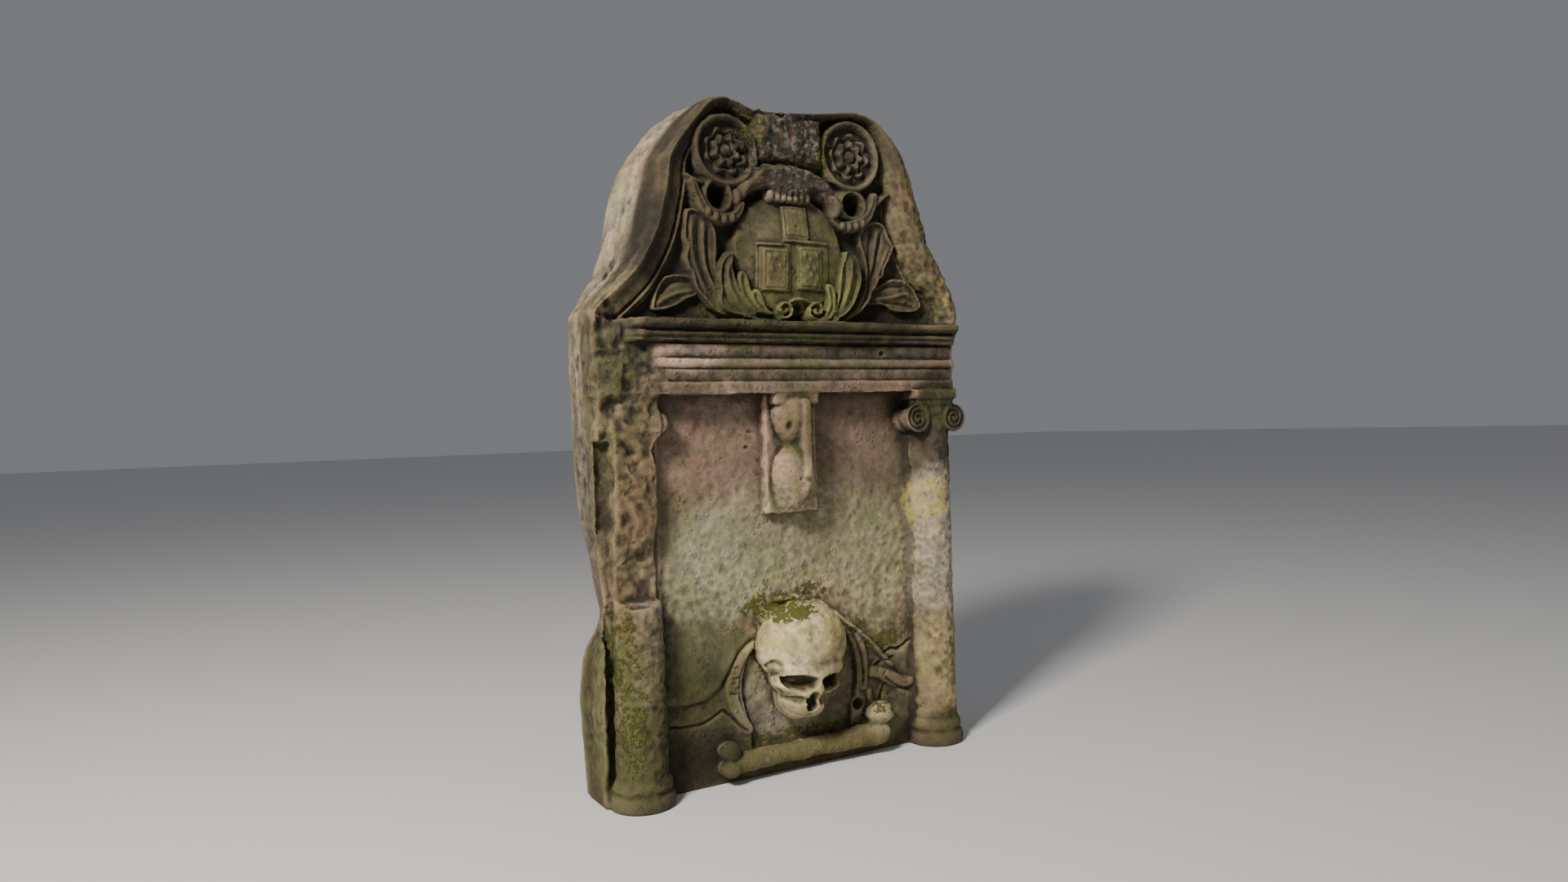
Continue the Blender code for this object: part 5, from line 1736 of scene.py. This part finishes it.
    def lay_wear_and_shade(self, skin: SkinMap, front: Array) -> None:
        """Stores where grime and painted shade darken the hollows, and where wear and a painted highlight
        lighten the edges.

        Args:
            skin: the finished skin.
            front: how far each vertex belongs to the carved front.
        """
        y, z = skin.places.T[1:]
        fine = skin.hollowness(6) / self.worn_depth
        sunk = smooth_step(y, -0.048, -0.038) * (z > self.plan.cornice_top)
        flat = smooth_step(y, -0.042, -0.034) * (z < self.plan.frieze_bottom)
        calm = 1.0 - 0.62 * front * flat * smooth_step(z, 0.3, 0.45)
        open_panel = zones_weight(self.pitted, skin.places)
        hollow = np.clip(fine, 0.0, 1.0) * (1.0 - 0.85 * open_panel) * calm
        # fine hollows and the gable's sunken field, to be darkened by grime and by painted shade
        skin.store("hollow", np.maximum(hollow, 0.6 * sunk * front))
        # edges, to be lightened by wear and by a painted highlight
        skin.store("arris", np.clip(-fine, 0.0, 1.0) * calm)
        # broad recesses, to be darkened by painted shade with some grime
        skin.store("broad_shade_and_grime", np.clip(skin.hollowness(60) / self.broad_shade_depth, 0.0, 1.0))

    def tint(self, places: Array, front: Array) -> Array:
        """The stone's colour before growths and the darkening of hollows: mostly its own, with painted
        shade in a few washes and a painted contact shadow at the foot.

        Args:
            places: the skin's (x, y, z) rows.
            front: how far each vertex belongs to the carved front.

        Returns:
            One (r, g, b) row for each vertex.
        """
        outer = 1.0 - front
        tint = np.array(self.ground) * front[:, None] + np.array(self.flank) * outer[:, None]
        drift = np.stack([layered_noise(places, 0.06, 91 + 7 * k, 2) for k in range(3)], axis=1)
        ragged = places + self.raggedness * drift
        for wash in self.washes:
            share = wash.weight(ragged) * (outer if wash.on_side else front)
            tint = blend_rows(tint, wash.colour, share)
        tint = blend_rows(tint, self.back_tone, smooth_step(places[:, 1], 0.04, 0.065))
        # darker towards the foot: earth stain and a painted contact shadow
        rise = places[:, 2] + 0.012 * lattice_noise(places, 0.03, 81)
        tint = blend_rows(tint, self.soil_and_contact_shade, 0.85 * (1.0 - smooth_step(rise, 0.0, self.soil_and_shade_height)))
        for size, seed, hue in self.hues:
            share = smooth_step(layered_noise(places, size, seed), 0.1, 0.75)[:, None]
            tint = tint * (1.0 + share * (np.array(hue) - 1.0))
        grained = places / np.array((1.0, 1.0, 8.0))
        streak = (outer * layered_noise(grained, 0.012, 75))[:, None]
        return tint * np.clip(1.0 + streak * np.array((0.22, 0.26, 0.34)), 0.4, 1.6)


def blend_rows(rows: Array, colour: Colour, share: Array) -> Array:
    """Colour rows drawn towards one colour by each row's share."""
    return rows * (1.0 - share[:, None]) + np.array(colour) * share[:, None]


class NodeSheet:
    """A node tree with short ways to add and join its nodes."""

    def __init__(self, tree: bpy.types.NodeTree) -> None:
        """Takes the tree that is to be filled."""
        self.tree = tree

    def add(self, kind: str, given: dict[int | str, object] | None = None,
            **settings: object) -> bpy.types.Node:
        """Adds a node.

        Args:
            kind: the node's type.
            given: what each of its inputs gets, a value or another node's output.
            settings: values for the node's own fields.

        Returns:
            The node.
        """
        node = self.tree.nodes.new(kind)
        for key, value in settings.items():
            setattr(node, key, value)
        for key, value in (given or {}).items():
            self.feed(node.inputs[key], value)
        return node

    def feed(self, socket: Socket, value: object) -> None:
        """Links a socket to another one, or gives it a plain value."""
        if isinstance(value, Socket):
            self.tree.links.new(value, socket)
        elif isinstance(value, tuple) and len(value) == 3 and socket.type == "RGBA":
            socket.default_value = (*value, 1.0)
        else:
            socket.default_value = value

    def maths(self, operation: str, a: object, b: object = 0.0, clamp: bool = False) -> Socket:
        """The result of a sum or another operation on two values."""
        return self.add("ShaderNodeMath", {0: a, 1: b}, operation=operation, use_clamp=clamp).outputs[0]

    def times(self, a: object, b: object) -> Socket:
        """One value times another."""
        return self.maths("MULTIPLY", a, b)

    def blend(self, share: object, a: object, b: object, mode: str = "MIX") -> Socket:
        """A colour mixed from two."""
        given = {0: share, 6: a, 7: b}
        return self.add("ShaderNodeMix", given, data_type="RGBA", blend_type=mode).outputs[2]

    def value(self, name: str, output: str = "Fac") -> Socket:
        """A value or colour that the skin carries."""
        return self.add("ShaderNodeAttribute", attribute_name=name).outputs[output]

    def grey(self, value: Socket) -> Socket:
        """A value as a grey colour."""
        return self.add("ShaderNodeCombineColor", {0: value, 1: value, 2: value}).outputs[0]

    def noise(self, where: object, scale: object, detail: float = 4.0, rough: float = 0.6,
              distortion: float = 0.0) -> Socket:
        """Soft noise between 0 and 1."""
        given = {"Vector": where, "Scale": scale, "Detail": detail, "Roughness": rough,
                 "Distortion": distortion}
        return self.add("ShaderNodeTexNoise", given).outputs["Fac"]

    def ramp(self, value: object, low: object, high: object, out_low: float = 0.0,
             out_high: float = 1.0) -> Socket:
        """A value stretched from one range to another, with soft ends."""
        given = {"Value": value, "From Min": low, "From Max": high, "To Min": out_low, "To Max": out_high}
        node = self.add("ShaderNodeMapRange", given, interpolation_type="SMOOTHSTEP")
        return node.outputs["Result"]


def open_group(name: str, inputs: dict[str, float],
               outputs: Sequence[str]) -> tuple[NodeSheet, bpy.types.Node, bpy.types.Node]:
    """Starts a node group.

    Args:
        name: the group's name.
        inputs: its input values with what they are when nothing is joined to them.
        outputs: the names of its output values.

    Returns:
        The group's sheet, its input node and its output node.
    """
    tree = bpy.data.node_groups.new(name, "ShaderNodeTree")
    for title, value in inputs.items():
        socket = tree.interface.new_socket(title, in_out="INPUT", socket_type="NodeSocketFloat")
        socket.default_value = value
    for title in outputs:
        tree.interface.new_socket(title, in_out="OUTPUT", socket_type="NodeSocketFloat")
    sheet = NodeSheet(tree)
    return sheet, sheet.add("NodeGroupInput"), sheet.add("NodeGroupOutput")


@dataclass(frozen=True)
class GrowthGroup:
    """Node group: breaks a broad mask into patches with a ragged edge."""

    name: str = "growth_patches"
    spread: Place = (0.28, 0.72)
    gate: Place = (0.02, 0.12)

    def build(self) -> bpy.types.NodeTree:
        """Makes the group.

        Returns:
            The group, with inputs Mask, Scale, Shift and Edge and output Cover.
        """
        inputs = {"Mask": 0.0, "Scale": 30.0, "Shift": 0.0, "Edge": 0.12}
        sheet, source, put = open_group(self.name, inputs, ("Cover",))
        given = source.outputs
        where = sheet.add("ShaderNodeTexCoord").outputs["Object"]
        moved = sheet.add("ShaderNodeVectorMath", {0: where, 1: given["Shift"]}, operation="ADD")
        patches = sheet.noise(moved.outputs[0], given["Scale"], 5.0, 0.65)
        start = sheet.maths("SUBTRACT", 1.0, given["Mask"])
        low = sheet.maths("SUBTRACT", start, given["Edge"])
        high = sheet.maths("ADD", start, given["Edge"])
        cover = sheet.ramp(sheet.ramp(patches, *self.spread), low, high)
        sheet.feed(put.inputs["Cover"], sheet.times(cover, sheet.ramp(given["Mask"], *self.gate)))
        return sheet.tree


@dataclass(frozen=True)
class GrainGroup:
    """Node group: the sandstone's grain as a tone and as a height.

    A spot is its scale, where its edge lies and the scale of the clouds that it comes in.
    """

    name: str = "sandstone_grain"
    pore: Row = (150.0, 0.08, 0.42, 12.0)
    pimple: Row = (90.0, 0.1, 0.4, 17.0)
    pit: Row = (64.0, 0.08, 0.3, 21.0)
    cloud: Place = (0.5, 0.66)

    def spots(self, sheet: NodeSheet, at: Socket, kind: Row) -> Socket:
        """Scattered round spots, 1 in their middles, which come in groups.

        Args:
            sheet: the group's sheet.
            at: the place.
            kind: the sort of spot.

        Returns:
            The spots' value.
        """
        scale, low, high, cloud_scale = kind
        cells = sheet.add("ShaderNodeTexVoronoi", {"Vector": at, "Scale": scale}, feature="F1")
        found = sheet.ramp(cells.outputs["Distance"], low, high, 1.0, 0.0)
        return sheet.times(found, sheet.ramp(sheet.noise(at, cloud_scale, 2.0), *self.cloud))

    def build(self) -> bpy.types.NodeTree:
        """Makes the group.

        Returns:
            The group, with input Scale and outputs Tone, Speck, Pit and Height.
        """
        sheet, source, put = open_group(self.name, {"Scale": 1.0}, ("Tone", "Speck", "Pit", "Height"))
        given = {0: sheet.add("ShaderNodeTexCoord").outputs["Object"], "Scale": source.outputs["Scale"]}
        at = sheet.add("ShaderNodeVectorMath", given, operation="SCALE").outputs[0]
        broad = sheet.noise(at, 9.0, 6.0, 0.62, 0.4)
        middle = sheet.noise(at, 58.0, 6.0, 0.7)
        fine = sheet.noise(at, 320.0, 4.0, 0.7)
        pores, pimples, pits = (self.spots(sheet, at, kind) for kind in (self.pore, self.pimple, self.pit))
        height = sheet.times(middle, 0.42)
        for part, weight in ((fine, 0.26), (pores, -0.14), (pimples, 0.4), (pits, -0.3)):
            height = sheet.maths("ADD", height, sheet.times(part, weight))
        tone = sheet.maths("ADD", sheet.times(broad, 0.55), sheet.times(middle, 0.45))
        found = {"Tone": tone, "Speck": fine, "Height": height,
                 "Pit": sheet.maths("MAXIMUM", pits, sheet.times(pores, 0.5))}
        for title, value in found.items():
            sheet.feed(put.inputs[title], value)
        return sheet.tree


@dataclass(frozen=True)
class Growth:
    """A growth or crust: where the skin carries it, how it breaks up and what it looks like."""

    mask: str
    share: float
    scale: float
    shift: float
    edge: float
    strength: float
    colour: Colour
    light: Colour | None = None
    rise: float = 0.0


@dataclass(frozen=True)
class WeatheredSandstone:
    """The stone's finish: stained, lichened and mossy sandstone, with painted shade and painted highlights.
    """

    # dark colour of grime in pits, and of grime and painted shade in hollows and recesses
    grime_and_shade: Colour = (0.022, 0.019, 0.013)
    # gain for edges lightened by wear and by a painted highlight
    worn_and_highlit: Colour = (2.0, 1.9, 1.7)
    roughness: float = 0.93
    specular: float = 0.25
    saturation: float = 0.98
    bump_strength: float = 0.9
    bump_distance: float = 0.006
    growths: tuple[Growth, ...] = (
        Growth("algae", 1.0, 34.0, 3.0, 0.45, 0.5, (0.07, 0.07, 0.024), (0.17, 0.17, 0.048)),
        Growth("lichen", 1.0, 40.0, 7.0, 0.25, 0.55, (0.5, 0.4, 0.1)),
        Growth("crust", 1.0, 34.0, 11.0, 0.2, 0.9, (0.03, 0.025, 0.018), rise=0.3),
        Growth("crust", 0.36, 95.0, 15.0, 0.2, 0.8, (0.16, 0.14, 0.11)),
        Growth("crust", 0.22, 45.0, 19.0, 0.2, 0.6, (0.1, 0.035, 0.014)),
        Growth("moss", 1.0, 85.0, 23.0, 0.16, 1.0, (0.07, 0.075, 0.008), (0.16, 0.145, 0.026), 0.8),
    )

    def build(self) -> bpy.types.Material:
        """Makes the material.

        Returns:
            The material, which reads Object coordinates and the skin's own values.
        """
        material = bpy.data.materials.new("weathered_sandstone")
        material.use_nodes = True
        sheet = NodeSheet(material.node_tree)
        shader = material.node_tree.nodes["Principled BSDF"]
        shader.inputs["Roughness"].default_value = self.roughness
        shader.inputs["Specular IOR Level"].default_value = self.specular
        grain = sheet.add("ShaderNodeGroup", node_tree=GrainGroup().build()).outputs
        colour = self.stone(sheet, grain)
        patches = GrowthGroup().build()
        height = grain["Height"]
        for growth in self.growths:
            mask = sheet.times(sheet.value(growth.mask), growth.share)
            given = {"Mask": mask, "Scale": growth.scale, "Shift": growth.shift, "Edge": growth.edge}
            cover = sheet.add("ShaderNodeGroup", given, node_tree=patches).outputs["Cover"]
            look = growth.colour
            if growth.light:
                look = sheet.blend(grain["Speck"], growth.colour, growth.light)
            colour = sheet.blend(sheet.times(cover, growth.strength), colour, look)
            if growth.rise:
                height = sheet.maths("ADD", height, sheet.times(cover, growth.rise))
        rich = sheet.add("ShaderNodeHueSaturation", {"Saturation": self.saturation, "Color": colour})
        bump = sheet.add("ShaderNodeBump", {"Strength": self.bump_strength,
                                            "Distance": self.bump_distance, "Height": height})
        sheet.feed(shader.inputs["Base Color"], rich.outputs["Color"])
        sheet.feed(shader.inputs["Normal"], bump.outputs["Normal"])
        return material

    def stone(self, sheet: NodeSheet, grain: bpy.types.bpy_prop_collection) -> Socket:
        """The bare stone's colour: mottled, lighter on its edges from wear and a painted highlight, and
        darker in its hollows from grime and painted shade.

        Args:
            sheet: the material's sheet.
            grain: the outputs of the grain group.

        Returns:
            The colour.
        """
        colour = sheet.value("tint", "Color")
        for title, *ends in (("Tone", 0.32, 0.68, 0.8, 1.22), ("Speck", 0.35, 0.65, 0.87, 1.14)):
            colour = sheet.blend(1.0, colour, sheet.grey(sheet.ramp(grain[title], *ends)), "MULTIPLY")
        colour = sheet.blend(sheet.times(grain["Pit"], 0.22), colour, self.grime_and_shade)
        # lighter on edges: wear and a painted highlight
        pale = sheet.blend(1.0, colour, self.worn_and_highlit, "MULTIPLY")
        colour = sheet.blend(sheet.times(sheet.value("arris"), 0.7), colour, pale)
        # darker in hollows and recesses: grime and painted shade
        grime_and_shade_share = sheet.maths("ADD", sheet.times(sheet.value("hollow"), 0.8),
                           sheet.times(sheet.value("broad_shade_and_grime"), 0.55), clamp=True)
        patchy = sheet.ramp(grain["Tone"], 0.3, 0.6, 0.65, 1.0)
        return sheet.blend(sheet.times(grime_and_shade_share, patchy), colour, self.grime_and_shade)


@dataclass(frozen=True)
class Headstone:
    """The whole carved stone as one piece."""

    plan: Plan
    sight: Sight
    triangles: int = 190000
    foot_depth: float = 0.0018

    def build(self, solid: Piece) -> Piece:
        """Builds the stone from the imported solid.

        Args:
            solid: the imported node.

        Returns:
            The finished piece.
        """
        block = StoneBlock(self.plan, self.sight)
        stone = block.copy_solid(solid)
        LOG.info("slab: %d vertices", len(stone.data.vertices))
        block.carve(stone)
        columns, skull = Columns(self.plan), Skull(self.plan)
        forms = columns.build() + Hourglass(self.plan).build() + skull.build()
        forms += Bone(self.plan).build()
        stone = join_all([stone, *forms])
        apply_modifier(stone, "REMESH", mode="VOXEL", voxel_size=block.fine_skin)
        LOG.info("joined skin: %d vertices", len(stone.data.vertices))
        block.sharpen(stone)
        chisel = Chisel(stone)
        skull.sculpt(chisel)
        for side in (-1, 1):
            chisel.groove(columns.coil(side), columns.coil_width, columns.coil_depth)
        chisel.finish()
        apply_modifier(stone, "SMOOTH", factor=0.5, iterations=1)
        Weather().wear(stone)
        self.square_off(stone)
        faces = len(stone.data.polygons)
        apply_modifier(stone, "DECIMATE", ratio=min(1.0, self.triangles / (2.0 * faces)))
        self.square_off(stone)
        select_only(stone)
        bpy.ops.object.shade_smooth()
        LOG.info("finished skin: %d triangles", len(stone.data.polygons))
        return stone

    def square_off(self, stone: Piece) -> None:
        """Keeps the skin inside the solid's box and its foot flat on the ground."""
        places = read_places(stone.data)
        places = np.clip(places, np.array(self.plan.low), np.array(self.plan.high))
        places[places[:, 2] < self.foot_depth, 2] = 0.0
        write_places(stone.data, places)

    def dress(self, stone: Piece) -> None:
        """Gives the stone its stains, painted shade and painted highlights, and its finish."""
        StainsAndShade(self.plan, Weather().pitted).lay(SkinMap(stone))
        stone.data.materials.clear()
        stone.data.materials.append(WeatheredSandstone().build())


@dataclass(frozen=True)
class Lamp:
    """A soft area light that faces a point."""

    name: str
    place: Triple
    aim: Triple
    size: float
    power: float
    colour: Colour

    def hang(self) -> None:
        """Puts the light in the scene."""
        data = bpy.data.lights.new(self.name, "AREA")
        data.size = self.size
        data.energy = self.power
        data.color = self.colour
        lamp = bpy.data.objects.new(self.name, data)
        bpy.context.scene.collection.objects.link(lamp)
        lamp.location = self.place
        way = Vector(self.aim) - Vector(self.place)
        lamp.rotation_euler = way.to_track_quat("-Z", "Y").to_euler()


@dataclass(frozen=True)
class Studio:
    """Floor, soft lights and camera."""

    sight: Sight
    lens: float = 24.44
    sensor: float = 36.0
    floor_size: float = 60.0
    floor_colour: Colour = (0.72, 0.71, 0.69)
    floor_roughness: float = 0.9
    sky_colour: Colour = (0.9, 0.93, 1.0)
    sky_strength: float = 0.21
    lamps: tuple[Lamp, ...] = (
        Lamp("key", (-2.7, -1.65, 2.8), (0.0, 0.0, 0.55), 0.7, 212.0, (1.0, 0.965, 0.91)),
        Lamp("fill", (2.2, -3.0, 1.6), (0.0, 0.0, 0.6), 3.0, 10.0, (0.95, 0.97, 1.0)),
    )

    def floor(self) -> Piece:
        """A plain pale floor."""
        bpy.ops.object.select_all(action="DESELECT")
        bpy.ops.mesh.primitive_plane_add(size=self.floor_size, location=(0.0, 0.0, 0.0))
        floor = bpy.context.active_object
        floor.name = "floor"
        material = bpy.data.materials.new("floor")
        material.use_nodes = True
        shader = material.node_tree.nodes["Principled BSDF"]
        shader.inputs["Base Color"].default_value = (*self.floor_colour, 1.0)
        shader.inputs["Roughness"].default_value = self.floor_roughness
        floor.data.materials.append(material)
        return floor

    def light(self) -> None:
        """A soft key from the left, a weak fill and an even sky."""
        for lamp in self.lamps:
            lamp.hang()
        world = bpy.data.worlds.new("sky")
        bpy.context.scene.world = world
        world.use_nodes = True
        shade = world.node_tree.nodes["Background"]
        shade.inputs["Color"].default_value = (*self.sky_colour, 1.0)
        shade.inputs["Strength"].default_value = self.sky_strength

    def camera(self) -> None:
        """The camera at the photograph's viewing angle."""
        sight = self.sight
        data = bpy.data.cameras.new("camera")
        data.lens = self.lens
        data.sensor_width = self.sensor
        camera = bpy.data.objects.new("camera", data)
        bpy.context.scene.collection.objects.link(camera)
        ahead = Vector((math.sin(sight.yaw), math.cos(sight.yaw), 0.0))
        right = Vector((math.cos(sight.yaw), -math.sin(sight.yaw), 0.0))
        level = Vector((0.0, 0.0, 1.0))
        down = ahead * math.cos(sight.pitch) + level * math.sin(sight.pitch)
        up = level * math.cos(sight.pitch) - ahead * math.sin(sight.pitch)
        tipped = right * math.cos(sight.roll) + up * math.sin(sight.roll)
        upright = up * math.cos(sight.roll) - right * math.sin(sight.roll)
        matrix = Matrix((tipped, upright, -down)).transposed().to_4x4()
        matrix.translation = (sight.eye_x, sight.eye_y, sight.eye_z)
        camera.matrix_world = matrix
        bpy.context.scene.camera = camera


def main() -> None:
    """Builds, dresses and stages the headstone."""
    logging.basicConfig(level=logging.INFO, format="%(name)s: %(message)s")
    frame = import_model()
    solid = frame["nodes"][NODE]
    low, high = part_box(NODE)
    plan = Plan(low, high)
    sight = Sight()

    headstone = Headstone(plan, sight)
    stone = headstone.build(solid)
    headstone.dress(stone)
    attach(stone, BODY)
    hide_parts(NODE)
    LOG.info("headstone: dressed")

    studio = Studio(sight)
    studio.floor()
    studio.light()
    studio.camera()
    LOG.info("studio: ready")


if __name__ == "__main__":
    main()
